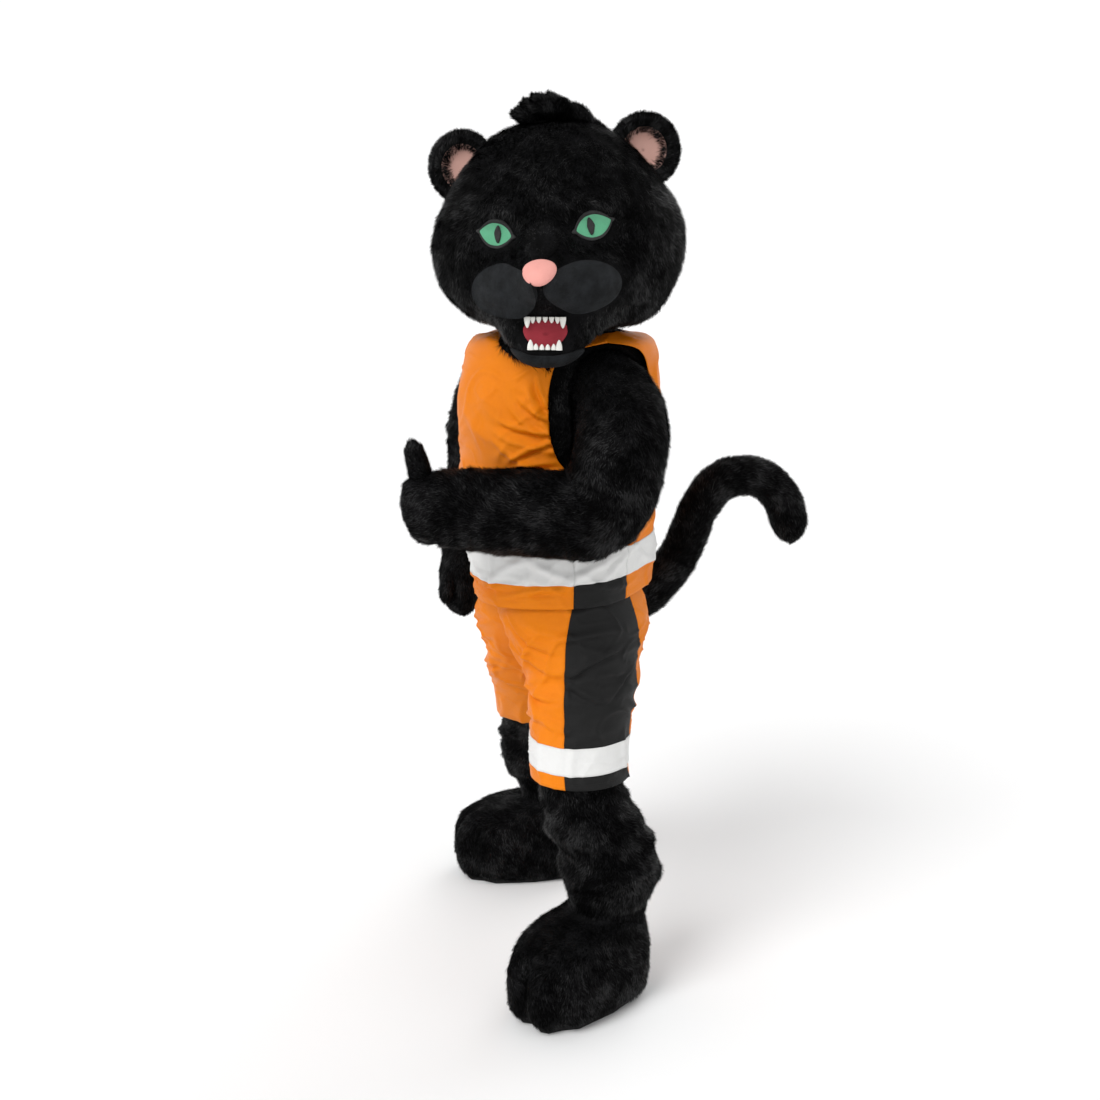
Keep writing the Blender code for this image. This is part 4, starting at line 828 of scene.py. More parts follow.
LEG_FOLDS = hand_placed(1, [
    (0, 440, 4, 180, 260, 80), (30, 385, 174, 170, 240, 100), (-40, 335, 8, 160, 240, 100),
    (60, 290, 172, 170, 220, 100), (160, 350, 6, 140, 240, 80), (-130, 410, 172, 140, 240, 80),
])
SHORTS_FOLDS = hand_placed(1, [
    (-70, 700, 18, 110, 220, 70), (-110, 755, 150, 110, 220, 80), (-30, 800, 8, 120, 220, 60),
    (10, 725, 174, 120, 220, 60), (96, 760, 20, 100, 240, 70), (120, 690, 160, 110, 240, 80),
])
# Bunched plush on the shins and calves, finer than the solid holds. Columns as for the folds.
LEG_CREASES = hand_placed(1, [
    (-18, 490, 14, 85, 105, 85), (-8, 455, 20, 80, 95, 85), (-52, 448, 156, 70, 100, 80),
    (8, 420, 12, 80, 105, 85), (-34, 398, 172, 75, 110, 70), (14, 355, 24, 70, 100, 80),
    (-10, 325, 12, 80, 105, 80), (-72, 362, 162, 70, 105, 70), (-62, 300, 12, 70, 100, 65),
    (-105, 470, 166, 70, 110, 70), (-120, 400, 16, 70, 110, 70), (-110, 320, 170, 70, 110, 65),
    (60, 485, 160, 75, 105, 75), (72, 430, 12, 75, 110, 75), (66, 375, 168, 70, 105, 70),
    (80, 315, 10, 70, 105, 65), (130, 455, 14, 75, 110, 70), (140, 390, 166, 70, 110, 70),
    (135, 330, 12, 70, 110, 65), (-160, 440, 170, 70, 110, 70), (-165, 360, 12, 70, 110, 65),
    (172, 300, 172, 70, 110, 60),
])


def leg_folds(rows, radius, other):
    """Folds of a leg of about that radius, mirrored on the other leg, where other is -1. Rows:
    angle round in degrees, then as for the jersey."""
    here = [
        (math.radians(a * other) * radius, z, turn if other > 0 else 180 - turn, *sizes)
        for a, z, turn, *sizes in rows
    ]

    def relief(p, z, t):
        return folds(p * radius, z, here)

    return relief


# Tail.

TAIL_ROWS = [
    (0.00, 0.0, 0.130, 0.842, 0.056, 0.058),
    (0.07, 0.0, 0.187, 0.855, 0.052, 0.053),
    (0.16, 0.0, 0.258, 0.884, 0.048, 0.049),
    (0.25, 0.0, 0.315, 0.933, 0.046, 0.047),
    (0.35, 0.0, 0.355, 0.997, 0.045, 0.046),
    (0.45, 0.0, 0.386, 1.060, 0.045, 0.046),
    (0.54, 0.0, 0.436, 1.112, 0.045, 0.046),
    (0.64, 0.0, 0.507, 1.127, 0.045, 0.046),
    (0.74, 0.0, 0.583, 1.107, 0.045, 0.046),
    (0.84, 0.0, 0.638, 1.056, 0.046, 0.046),
    (0.93, 0.0, 0.664, 0.996, 0.044, 0.045),
    (0.985, 0.0, 0.670, 0.955, 0.026, 0.027),
    (1.00, 0.0, 0.671, 0.944, 0.003, 0.003),
]


# Boots.

BOOT_ROWS = [
    (0.012, 0.246, 0.074, 0.086),
    (0.022, 0.262, 0.084, 0.098),
    (0.060, 0.275, 0.090, 0.108),
    (0.112, 0.275, 0.090, 0.109),
    (0.154, 0.260, 0.088, 0.104),
    (0.182, 0.226, 0.086, 0.096),
    (0.198, 0.172, 0.085, 0.089),
    (0.207, 0.116, 0.087, 0.0878),
    (0.213, 0.0885, 0.0885, 0.0885),
    (0.2217, 0.0885, 0.0885, 0.0885),
]


def boot(ankle, heading, rows=BOOT_ROWS):
    """surface(u, z): level sections round the ankle's middle, with creases between the toes."""
    c, s = math.cos(heading), math.sin(heading)

    def surface(u, z):
        toe, heel, half = sections(z, rows)
        front = np.cos(u) > 0
        reach = np.where(front, toe, heel)
        power = np.where(front, 2.0 + 0.8 * fade(toe, 0.10, 0.20), 2.0)
        wide = half * (1 + 0.14 * np.cos(u) * fade(toe, 0.10, 0.20))
        x = wide * np.sign(np.sin(u)) * np.abs(np.sin(u)) ** (2 / power)
        y = -reach * np.sign(np.cos(u)) * np.abs(np.cos(u)) ** (2 / power)
        dent = 0.0 * u
        for angle in (-28, 0, 28):
            off = np.degrees(np.arctan2(x, -y)) - angle * 0.62
            dent = dent + np.exp(-((off / 3.2) ** 2))
        shrink = 1 - 0.075 * dent * fade(toe, 0.16, 0.24) * (y < 0)
        x, y = x * shrink, y * shrink
        return xyz(ankle[0] + c * x - s * y, ankle[1] + s * x + c * y, z)

    return surface


LEFT_ANKLE, LEFT_HEADING = (0.195, 0.006), math.radians(14)
RIGHT_ANKLE, RIGHT_HEADING = (-0.413, 0.237), math.radians(-22)


# Head.

HEAD_ROWS = [
    (0.00, 1.5145, 0.1235, 0.1235, 0.1235),
    (0.06, 1.518, 0.150, 0.150, 0.150),
    (0.14, 1.530, 0.190, 0.186, 0.186),
    (0.24, 1.566, 0.229, 0.212, 0.216),
    (0.36, 1.631, 0.264, 0.230, 0.244),
    (0.48, 1.695, 0.272, 0.234, 0.254),
    (0.56, 1.740, 0.262, 0.230, 0.252),
    (0.66, 1.789, 0.235, 0.214, 0.238),
    (0.77, 1.851, 0.192, 0.184, 0.206),
    (0.87, 1.900, 0.143, 0.142, 0.158),
    (0.94, 1.931, 0.092, 0.094, 0.104),
    (1.00, 1.946, 1e-8, 1e-8, 1e-8),
]
# Across, height, half width, half height, how far the foam is pushed out and up, then how far
# forward the swelling starts and is whole.
FACE_BUMPS = [
    (0.066, 1.602, 0.084, 0.064, 0.078, 0.000, 0.02, 0.12),
    (-0.066, 1.602, 0.084, 0.064, 0.078, 0.000, 0.02, 0.12),
    (0.000, 1.664, 0.050, 0.070, 0.060, 0.000, 0.02, 0.12),
    (0.000, 1.528, 0.098, 0.030, 0.070, -0.068, 0.150, 0.190),
    (0.000, 1.556, 0.055, 0.014, -0.030, 0.000, 0.15, 0.19),
    (0.100, 1.775, 0.070, 0.030, 0.020, 0.000, 0.02, 0.12),
    (-0.100, 1.775, 0.070, 0.030, 0.020, 0.000, 0.02, 0.12),
    (0.105, 1.712, 0.055, 0.034, -0.010, 0.000, 0.02, 0.12),
    (-0.105, 1.712, 0.055, 0.034, -0.010, 0.000, 0.02, 0.12),
]


def swelled(points):
    """Points pushed out and up by the swellings of the face, each a bell over its oval."""
    x, z = points[..., 0], points[..., 2]
    out, up = 0.0 * x, 0.0 * x
    for across, height, wide, tall, push, lift, start, whole in FACE_BUMPS:
        far = np.hypot((x - across) / wide, (z - height) / tall)
        amount = np.exp(-(far**3)) * fade(-points[..., 1], start, whole)
        out, up = out + push * amount, up + lift * amount
    return points + xyz(0 * x, -out, up)


ROLL_FROM, ROLL_WHOLE = 1.52, 1.62  # heights between which the head's roll grows


def posed(points):
    """Head space to the costume: a small roll that fades towards the neck, then the turn."""
    x, y, z = np.moveaxis(points, -1, 0)
    roll = HEAD_ROLL * fade(z, ROLL_FROM, ROLL_WHOLE)
    c, s = np.cos(roll), np.sin(roll)
    x, z = x * c + (z - ROLL_WHOLE) * s, ROLL_WHOLE - x * s + (z - ROLL_WHOLE) * c
    c, s = math.cos(HEAD_TURN), math.sin(HEAD_TURN)
    return xyz(x * c - y * s, x * s + y * c, z)


def head_plain(u, w):
    """The head before its swellings: a level oval at each place up its profile."""
    z, half, front, back = sections(w, HEAD_ROWS)
    x, y = ring(u, half, front, back)
    return xyz(x, y - HEAD_FORWARD * fade(w, 0.0, 0.2), z)


def head_shape(u, w):
    return posed(swelled(head_plain(u, w)))


def face_point(x, z):
    """The face at a place across and up, before the turn."""
    table = np.asarray(HEAD_ROWS)[:, [1, 2, 3]]
    half, depth = sections(z, table)
    y = -HEAD_FORWARD - depth * np.sqrt(np.clip(1 - (x / half) ** 2, 0.0, 1))
    return posed(swelled(xyz(x, y, z)))


def disc(x0, z0, wide, tall, tilt, shape=None):
    """surface(angle, r) on the face: an oval round a place, its edge pulled in by shape."""
    c, s = math.cos(math.radians(tilt)), math.sin(math.radians(tilt))

    def surface(angle, r):
        a, b = wide * np.cos(angle) * r, tall * np.sin(angle) * r
        if shape is not None:
            a, b = shape(a, b)
        return face_point(x0 + a * c - b * s, z0 + a * s + b * c)

    return surface


def dome(rim, height):
    """A height over a disc: the rim's, and the top of a ball above it."""
    return lambda r: rim + height * np.sqrt(np.clip(1 - np.minimum(r, 1.0) ** 2, 0, 1))


def flat(height):
    """The same height all over a disc."""
    return lambda r: height + 0.0 * r


def almond(wide):
    """Draws the ends of an oval in to blunt points: its height times (1.06 - (a / wide)^2) to
    the power 0.4."""
    return lambda a, b: (a, b * np.clip(1.06 - (a / wide) ** 2, 0.06, 1) ** 0.4)


def nose_outline(a, b):
    """A rounded wedge, wider above than below."""
    return a * (1 + 9 * b), b


# Ears, teeth and tuft.

EAR_BACK = [(0.0, 0.026), (0.45, 0.023), (0.80, 0.013), (1.0, 0.0)]
EAR_FRONT = [(0.0, -0.016), (0.40, -0.013), (0.66, 0.004), (0.86, 0.010), (1.0, 0.0)]
EAR_RADIUS, EAR_ACROSS, EAR_HEIGHT, EAR_BEHIND = 0.078, 0.197, 1.866, 0.012


def ear_point(sign, angle, r, stand_out):
    """A place on the ear's dish: angle and share of its radius, then how far it stands out."""
    x, z = EAR_RADIUS * r * np.cos(angle), EAR_RADIUS * r * np.sin(angle)
    lean, turn = math.radians(12), math.radians(14)
    level = x * math.cos(lean) + z * math.sin(lean)
    across = EAR_ACROSS + level * math.cos(turn) + stand_out * math.sin(turn)
    along = EAR_BEHIND + level * math.sin(turn) * 0.6 - stand_out * math.cos(turn)
    up = EAR_HEIGHT - x * math.sin(lean) + z * math.cos(lean)
    return posed(xyz(sign * across, along, up))


def reach(table, r):
    """How far the ear's dish stands out at a share of its radius."""
    return smooth(r, table)[..., 0]


# Each row of teeth: across, then how long, in metres. A peak is a tooth.
UPPER_TEETH = [
    (-0.046, 0.003), (-0.040, 0.006), (-0.036, 0.022), (-0.030, 0.006), (-0.025, 0.013),
    (-0.019, 0.005), (-0.013, 0.012), (-0.007, 0.005), (0.0, 0.011), (0.007, 0.005),
    (0.013, 0.012), (0.019, 0.005), (0.025, 0.013), (0.030, 0.006), (0.036, 0.022),
    (0.040, 0.006), (0.046, 0.003),
]
LOWER_TEETH = [
    (-0.038, 0.003), (-0.034, 0.006), (-0.029, 0.020), (-0.023, 0.006), (-0.018, 0.012),
    (-0.012, 0.005), (-0.006, 0.011), (0.0, 0.005), (0.006, 0.011), (0.012, 0.005),
    (0.018, 0.012), (0.023, 0.006), (0.029, 0.020), (0.034, 0.006), (0.038, 0.003),
]
# Locks of the tuft, as for the lower locks.
TUFT_LOCKS = [
    (-0.020, -0.060, 1.930, -0.062, -0.088, 1.962, 0.013, -0.004, 0.0, 0.010),
    (-0.012, -0.040, 1.938, -0.044, -0.060, 1.984, 0.014, 0.006, 0.0, 0.008),
    (0.002, -0.050, 1.936, -0.018, -0.078, 1.992, 0.014, 0.006, 0.0, 0.008),
    (0.016, -0.036, 1.938, 0.012, -0.056, 1.994, 0.013, 0.006, 0.0, 0.006),
    (0.026, -0.050, 1.930, 0.044, -0.082, 1.974, 0.013, 0.004, 0.0, 0.010),
]


# Plush pieces: each is the backing with its clumps of pile, and a mesh of single tufts on it.

CLUMP = 0.0014  # how far the clumps of pile stand out
CLUMP_SIZE, SMALL_CLUMP_SIZE = 0.055, 0.021
SWIRL_SIZE, SMALL_SWIRL_SIZE = 0.16, 0.05  # over which the comb wanders
ROOT_DEPTH = 0.001
PILE_DENSITY = 150000.0  # tufts to the square metre
PILE_LONG, PILE_WIDE = 0.0125, 0.0018
DARK_TO = (0.5, 0.85)  # the shares of tufts that are dark, and dark or middle
# Three tones of tuft, glossier as they get lighter. The middle and light tones are painted
# highlight: they stand for the patchy grey sheen on black pile.
pile_tones_painted_highlight = [
    finish(f"black_pile_painted_highlight_{label}", {
        "Base Color": grey(tone, (1, 1, 1.06)), "Roughness": 0.50, "Specular IOR Level": gloss,
    })
    for label, tone, gloss in (("dark", 0.0012, 0.02), ("middle", 0.0035, 0.09),
                               ("light", 0.010, 0.22))
]


def matted(points):
    """How far the pile stands at each point: broad clumps and small ones."""
    return (CLUMP * drift(points, CLUMP_SIZE, 3)
            + 0.7 * CLUMP * drift(points, SMALL_CLUMP_SIZE, 4))


def unit(rows):
    return rows / np.maximum(np.linalg.norm(rows, axis=-1, keepdims=True), 1e-12)


def grow(name, points, out, body, share=None, comb=1.0, closed=False, long=PILE_LONG,
         short=None, lean=(48, 74), density=PILE_DENSITY, seed=1):
    """Pile on a grid: one narrow triangle for each tuft. Its root is a place in a cell drawn by
    area times share. Its tip lies along a line tipped from the outward normal towards the comb,
    which follows the grid's second step and wanders from clump to clump. short scales the
    length from place to place."""
    rng = np.random.default_rng(seed)
    share = np.ones(points.shape[:2]) if share is None else share
    short = np.ones(points.shape[:2]) if short is None else short
    way = np.gradient(points, axis=0) * comb
    if closed:
        points, out, way, share, short = (
            np.concatenate([each, each[:, :1]], axis=1) for each in (points, out, way, share, short)
        )
    first, second = points[:-1, 1:] - points[:-1, :-1], points[1:, :-1] - points[:-1, :-1]
    weight = (share[:-1, :-1] + share[:-1, 1:] + share[1:, :-1] + share[1:, 1:]) / 4
    total = np.cumsum((np.linalg.norm(np.cross(first, second), axis=-1) * weight).ravel())
    count = int(total[-1] * density)
    pick = np.searchsorted(total, rng.uniform(0, total[-1], count))
    row, column = np.divmod(np.minimum(pick, len(total) - 1), points.shape[1] - 1)
    a, b = rng.random((2, count, 1))

    def at(values):
        values = values.reshape(*points.shape[:2], -1)
        low = values[row, column] * (1 - a) + values[row, column + 1] * a
        high = values[row + 1, column] * (1 - a) + values[row + 1, column + 1] * a
        return low * (1 - b) + high * b

    root, n = at(points), unit(at(out))
    along = at(way)
    along = unit(along - n * (along * n).sum(axis=-1, keepdims=True))
    turn = (0.6 * drift(root, SWIRL_SIZE, 11) + 0.45 * drift(root, SMALL_SWIRL_SIZE, 12)
            + rng.normal(0, 0.22, count))[:, None]
    flow = along * np.cos(turn) + np.cross(n, along) * np.sin(turn)
    tip_over = np.radians(rng.uniform(*lean, (count, 1)))
    hair = n * np.cos(tip_over) + flow * np.sin(tip_over)
    size = long * rng.uniform(0.7, 1.25, (count, 1)) * at(short)
    half = unit(np.cross(hair, n)) * PILE_WIDE / 2 * rng.uniform(0.7, 1.2, (count, 1))
    root = root - n * ROOT_DEPTH
    corners = np.stack([root - half, root + half, root + hair * size], axis=1)
    turned_out = unit(n - hair * (n * hair).sum(axis=-1, keepdims=True))
    facing = unit(0.55 * n + 0.45 * turned_out + rng.normal(0, 0.10, (count, 3)))
    obj = put(name, corners, np.arange(3 * count).reshape(-1, 3), body, pile_tones_painted_highlight,
              "black_plush")
    # Painted highlight: wandering patches, with chance, pick which tufts take the lighter tones.
    tone = drift(root, 0.10, 14) + 0.8 * drift(root, 0.035, 13) + rng.normal(0, 0.7, count)
    shade = np.searchsorted(np.quantile(tone, DARK_TO), tone)
    obj.data.polygons.foreach_set("material_index", shade.astype(np.int32))
    obj.data.normals_split_custom_set_from_vertices(np.repeat(facing, 3, axis=0))
    return obj


def furry(name, surface, grid, body, stands_for, side=1, closed=False, thick=PLUSH, held=None,
          rests=(), share=None, comb=1.0, long=PILE_LONG, keep=None, seed=1):
    """A plush piece: the backing on surface(u, v) at a grid of places, then its pile. share
    tells from the points where pile grows."""
    u, v = grid
    points, out = outward(surface, u, v, side)
    points = points + out * matted(points)[..., None]
    obj = skin(name, points, out, thick, body, plush, "black_plush", stands_for, closed, side,
               held, rests, None if keep is None else keep(points))
    grow(name.replace("_plush", "_pile"), points, out, body,
         None if share is None else share(points), comb, closed, long, seed=seed)
    return obj


JERSEY_TABLE = np.asarray(JERSEY_ROWS)


def around_jersey(points):
    """How far outside the jersey's profile each point lies, and whether the armhole is there."""
    x, y, z = np.moveaxis(points, -1, 0)
    w = np.interp(z, JERSEY_TABLE[:, 1], JERSEY_TABLE[:, 0])
    half, front, back = sections(w, JERSEY_ROWS)[1:]
    u = np.arctan2(x, -y)
    depth = (front + back) / 2 + (front - back) / 2 * np.cos(u)
    beyond = np.hypot(x, y) - 1 / np.hypot(np.sin(u) / half, np.cos(u) / depth)
    turn = np.degrees(np.abs(u))
    bare = (turn > smooth(w, FRONT_EDGE)[..., 0]) & (turn < smooth(w, BACK_EDGE)[..., 0])
    return beyond, bare & (w > ARMHOLE)


def sleeve_share(points):
    """Pile outside the jersey, and in the armhole outside the suit."""
    beyond, bare = around_jersey(points)
    return ((beyond > 0.004) | (bare & (beyond > -0.026))).astype(float)


def suit_share(points):
    """Pile on the suit in the armholes and above the jersey's neckline."""
    return (around_jersey(points)[1] | (points[..., 2] > 1.4985)).astype(float)


def below(height):
    """A share that fades out over 12 mm up to a height."""
    return lambda points: 1 - fade(points[..., 2], height - 0.012, height)


def ring_of(count):
    """Even angles round, without the last that closes the ring."""
    return np.linspace(0, 2 * math.pi, count, endpoint=False)


left_sleeve = tube(LEFT_ARM, LEFT_AXIS, arm_folds(LEFT_FOLDS + SLEEVE_CREASES))
right_sleeve = tube(RIGHT_ARM, RIGHT_AXIS, arm_folds(RIGHT_FOLDS + SLEEVE_CREASES))
sleeve_levels = np.concatenate([levels(16, 0, 0.42)[:-1], levels(32, 0.42, 0.64)[:-1],
                                levels(10, 0.64, 0.84)[:-1], levels(14, 0.84, 1.0)])
left_mitt = tube(LEFT_MITT, LEFT_AXIS, fingers((-60, -20, 20), 0.45, 0.008))
right_mitt = tube(RIGHT_MITT, RIGHT_AXIS, fingers((-35, 0, 35), 0.50, 0.007))
for label, surface, held in (("left", left_sleeve, "stretched"), ("right", right_sleeve, "hung")):
    furry(f"sleeve_{label}_plush", surface, places(ring_of(40), sleeve_levels), "suit",
          [f"sleeve_{label}"], closed=True, held=held,
          rests=["suit_front_plush", "suit_back_plush"], share=sleeve_share, seed=21)
for label, surface, thumb in (
    ("left", left_mitt, LEFT_THUMB), ("right", right_mitt, RIGHT_THUMB),
):
    furry(f"glove_{label}_plush", surface, places(ring_of(44), levels(44, 0, 0.998)), "suit",
          [f"glove_{label}"], closed=True, long=0.010, seed=22)
    furry(f"thumb_{label}_plush", tube(thumb, (1.0, 0.0, 0.0)),
          places(ring_of(20), levels(18, 0, 1.0)), "suit", [], closed=True, long=0.009, seed=23)


def leg_relief(other):
    ease, fine = (leg_folds(rows, 0.10, other) for rows in (LEG_FOLDS, LEG_CREASES))

    def relief(p, z, t):
        return ease(p, z, t) + fine(p, z, t) * fade(t, 0.60, 0.66) * (1 - fade(t, 0.93, 0.985))

    return relief


leg_levels = np.concatenate([levels(20, 0, 0.58)[:-1], levels(56, 0.58, 1.0)])
for label, sign, stance in LEGS:
    leg = trouser(LEG_ROWS, stance, sign, leg_relief(sign))
    furry(f"leg_{label}_plush", leg, places(np.linspace(-math.pi, math.pi, 45), leg_levels),
          "suit", [f"leg_{label}"], side=-sign, held="gathered", rests=[f"boot_{label}_plush"],
          share=below(0.558), seed=24)

tail_shape = tube(TAIL_ROWS, (1.0, 0.0, 0.0))
furry("tail_plush", tail_shape, places(ring_of(24), levels(80)), "suit", ["tail"], closed=True,
      seed=25)

boot_levels = np.concatenate([levels(21, 0.012, 0.19)[:-1], levels(8, 0.19, 0.2217)])
for label, ankle, heading in (
    ("left", LEFT_ANKLE, LEFT_HEADING), ("right", RIGHT_ANKLE, RIGHT_HEADING),
):
    furry(f"boot_{label}_plush", boot(ankle, heading), places(ring_of(88), boot_levels),
          "suit", [f"boot_{label}"], closed=True, thick=0.008, comb=-1.0, long=0.011, seed=26)


# The suit's body, seen in the armholes and at the collar, and the flap of fur below the chin.

SUIT_ROWS = [
    (0.00, 0.955, 0.172, 0.165, 0.165),
    (0.18, 1.050, 0.178, 0.172, 0.172),
    (0.35, 1.150, 0.180, 0.182, 0.180),
    (0.50, 1.250, 0.180, 0.196, 0.190),
    (0.65, 1.350, 0.182, 0.204, 0.198),
    (0.76, 1.424, 0.185, 0.196, 0.192),
    (0.84, 1.466, 0.180, 0.182, 0.182),
    (0.90, 1.490, 0.158, 0.158, 0.158),
    (0.94, 1.4985, 0.130, 0.130, 0.130),
    (0.965, 1.502, 0.1125, 0.1125, 0.1125),
    (0.975, 1.506, 0.110, 0.110, 0.110),
    (1.00, 1.524, 0.110, 0.110, 0.110),
]
FLAP_LIFT = LIFT + PLUSH + 0.0023
# Place up the jersey's profile, then where the flap starts and ends, in degrees.
FLAP_EDGES = [(0.775, 44, 51), (0.80, 34, 54), (0.84, 22, 58), (0.876, 14, 60), (0.93, 5, 62),
              (0.985, -4, 62)]


def suit_body(u, w):
    """The suit's body: a level oval at each place up its profile."""
    z, half, front, back = sections(w, SUIT_ROWS)
    x, y = ring(u, half, front, back)
    return xyz(x, y, z)


def outside_sleeves(points):
    """The cells of a grid whose middles lie outside both sleeves' tubes."""
    middle = (points[:-1, :-1] + points[:-1, 1:] + points[1:, :-1] + points[1:, 1:]) / 4
    t = levels(60, 0.0, 0.5)
    clear = np.ones(middle.shape[:2], bool)
    for arm in (LEFT_ARM, RIGHT_ARM):
        centres = path(t, arm)[:, :3]
        radii = smooth(t, arm)[:, 3:].mean(axis=-1)
        gap = np.linalg.norm(middle[:, :, None] - centres, axis=-1) / radii
        clear &= gap.min(axis=-1) > 0.96
    return clear


for label, start in (("front", -math.pi / 2), ("back", math.pi / 2)):
    furry(f"suit_{label}_plush", suit_body, places(levels(45, start, start + math.pi), levels(46)),
          "suit", [f"suit_{label}"], held="hung", rests=["neck_ring_plush"], share=suit_share,
          comb=-1.0, keep=outside_sleeves, long=0.009, seed=27)


def flap(a, w):
    """The jersey's surface between the flap's edges, lifted clear of it."""
    start, end = np.moveaxis(np.radians(smooth(w, FLAP_EDGES)), -1, 0)
    u = start + a * (end - start)
    return jersey(u, w) + normals(jersey, u, w) * FLAP_LIFT


furry("neck_flap_plush", flap, places(levels(25), levels(25, 0.775, 0.985)), "suit",
      ["neck_flap"], held="laid", rests=["jersey_front_satin"], comb=-1.0, long=0.026, seed=28)


NECK_RADIUS = 0.1192


def neck_tube(u, z):
    """An upright round tube."""
    return xyz(NECK_RADIUS * np.sin(u), -NECK_RADIUS * np.cos(u), z)


ring_points, ring_out = outward(neck_tube, *places(ring_of(64), levels(6, 1.5063, 1.5265)))
skin("neck_ring_plush", ring_points, ring_out, 0.0083, "head", plush, "black_plush",
               ["neck_ring"], closed=True)
grow("neck_ring_pile", ring_points, ring_out, "head", comb=-1.0, closed=True, long=0.008,
     seed=29)


# Shorts. The creases are finer than the solid holds; some are a valley with a ridge over it.

SHORTS_CREASES = hand_placed(1, [
    (-76, 760, 22, 85, 80, 40), (-98, 700, 148, 80, 80, 40), (-62, 660, 168, 90, 90, 35),
    (-104, 810, 60, 70, 80, 40), (-128, 770, 128, 70, 85, 40), (-66, 860, 172, 80, 90, 30),
    (-20, 860, 4, 90, 90, 35), (6, 815, 172, 85, 85, 35), (-10, 765, 8, 80, 85, 35),
    (18, 690, 168, 85, 90, 32), (-26, 640, 14, 70, 85, 28), (-84, 590, 92, 50, 85, 28),
    (-40, 585, 84, 45, 80, 28), (30, 590, 98, 45, 80, 28), (80, 840, 20, 80, 90, 35),
    (100, 720, 30, 80, 85, 40), (70, 660, 160, 80, 85, 35), (122, 640, 148, 70, 85, 35),
    (90, 590, 86, 48, 85, 28), (136, 780, 60, 60, 85, 35), (-102, 834, 158, 80, 56, -36),
    (-101, 846, 158, 75, 56, 40), (-94, 779, 162, 75, 56, -36), (-93, 791, 162, 70, 56, 40),
    (-90, 708, 174, 70, 56, -36), (-89, 719, 174, 66, 56, 40), (-16, 792, 26, 70, 60, -34),
    (-15, 804, 26, 66, 60, 36), (-24, 716, 154, 60, 60, -34), (-23, 728, 154, 56, 60, 36),
    (20, 742, 38, 50, 60, -34), (22, 753, 38, 46, 60, 36), (-140, 700, 22, 50, 60, -34),
    (-139, 711, 22, 46, 60, 36), (-120, 650, 16, 60, 60, -34), (-119, 661, 16, 56, 60, 36),
    (98, 796, 22, 70, 60, -34), (99, 808, 22, 66, 60, 36), (108, 706, 160, 65, 60, -34),
    (109, 717, 160, 60, 60, 36),
])


def shorts_relief(other):
    ease, fine = (leg_folds(rows, 0.11, other) for rows in (SHORTS_FOLDS, SHORTS_CREASES))
    sharper = SHARPER if other > 0 else SHARPER_FAR

    def relief(p, z, t):
        return (ease(p, z, t) + sharper * fine(p, z, t)) * fade(t, 0.02, 0.10)

    return relief


# Each panel: where it starts and ends round the leg in degrees, its satin and its columns.
PANELS = (("front", -180, -48, "orange", 73), ("side", -48, 48, "black", 53),
          ("back", 48, 180, "orange", 73))
# The band's place down the shorts' profile, and the rows of points.
LEG_BAND = (0.84, 0.95)
shorts_rows = np.concatenate([levels(74, 0, LEG_BAND[0])[:-1], levels(14, *LEG_BAND)[:-1],
                              levels(7, LEG_BAND[1], 1.0)])
for label, sign, stance in LEGS:
    short = trouser(SHORTS_ROWS, stance, sign, shorts_relief(sign))
    for part, low, high, kind, count in PANELS:
        grid = trimmed(short, *places(np.radians(np.linspace(low, high, count)), shorts_rows))
        worn(f"shorts_{label}_{part}_satin", short, grid, kind, [f"shorts_{label}_{part}"],
             side=-sign, rests=[f"leg_{label}_plush"])
    if sign > 0:
        grid = places(np.linspace(-math.pi, math.pi, 145), levels(14, *LEG_BAND))
        worn("shorts_band_left_satin", short, grid, "white", ["shorts_band_left"], side=-sign,
             lift=LIFT + BAND, thick=BAND,
             rests=["shorts_left_front_satin", "shorts_left_side_satin",
                    "shorts_left_back_satin"])


# Sewing: short stitches along hems, bands and side seams.


STITCH = 0.0042  # from one stitch to the next
STITCH_HALF, STITCH_WIDE, STITCH_HIGH, STITCH_DEEP = STITCH * 0.37, 0.0005, 0.0006, 0.0004


def sewn(name, surface, u, w, side, lift, kind):
    """Stitches along a line of places u, w on a surface: at even paces, an eight-faced bead
    about three parts in four of a pace long."""
    line = surface(u, w)
    out = normals(surface, u, w, side)
    line = line + out * (crinkles(line) + lift)[..., None]
    run = np.concatenate([[0], np.cumsum(np.linalg.norm(np.diff(line, axis=0), axis=1))])
    spots = np.arange(STITCH / 2, run[-1], STITCH)

    def at(values, places_on):
        return np.stack([np.interp(places_on, run, column) for column in values.T], axis=-1)

    start, end = at(line, spots - STITCH_HALF), at(line, spots + STITCH_HALF)
    up = unit(at(out, spots))
    across = unit(np.cross(up, end - start)) * STITCH_WIDE
    middle = (start + end) / 2
    beads = np.stack([start, middle + across, end, middle - across,
                      middle + up * STITCH_HIGH, middle - up * STITCH_DEEP], axis=1)
    faces = np.array([(0, 1, 4), (1, 2, 4), (2, 3, 4), (3, 0, 4),
                      (1, 0, 5), (2, 1, 5), (3, 2, 5), (0, 3, 5)])
    every = faces + np.arange(len(beads))[:, None, None] * 6
    put(name, beads, every.reshape(-1, 3), "suit", *SATINS[kind])


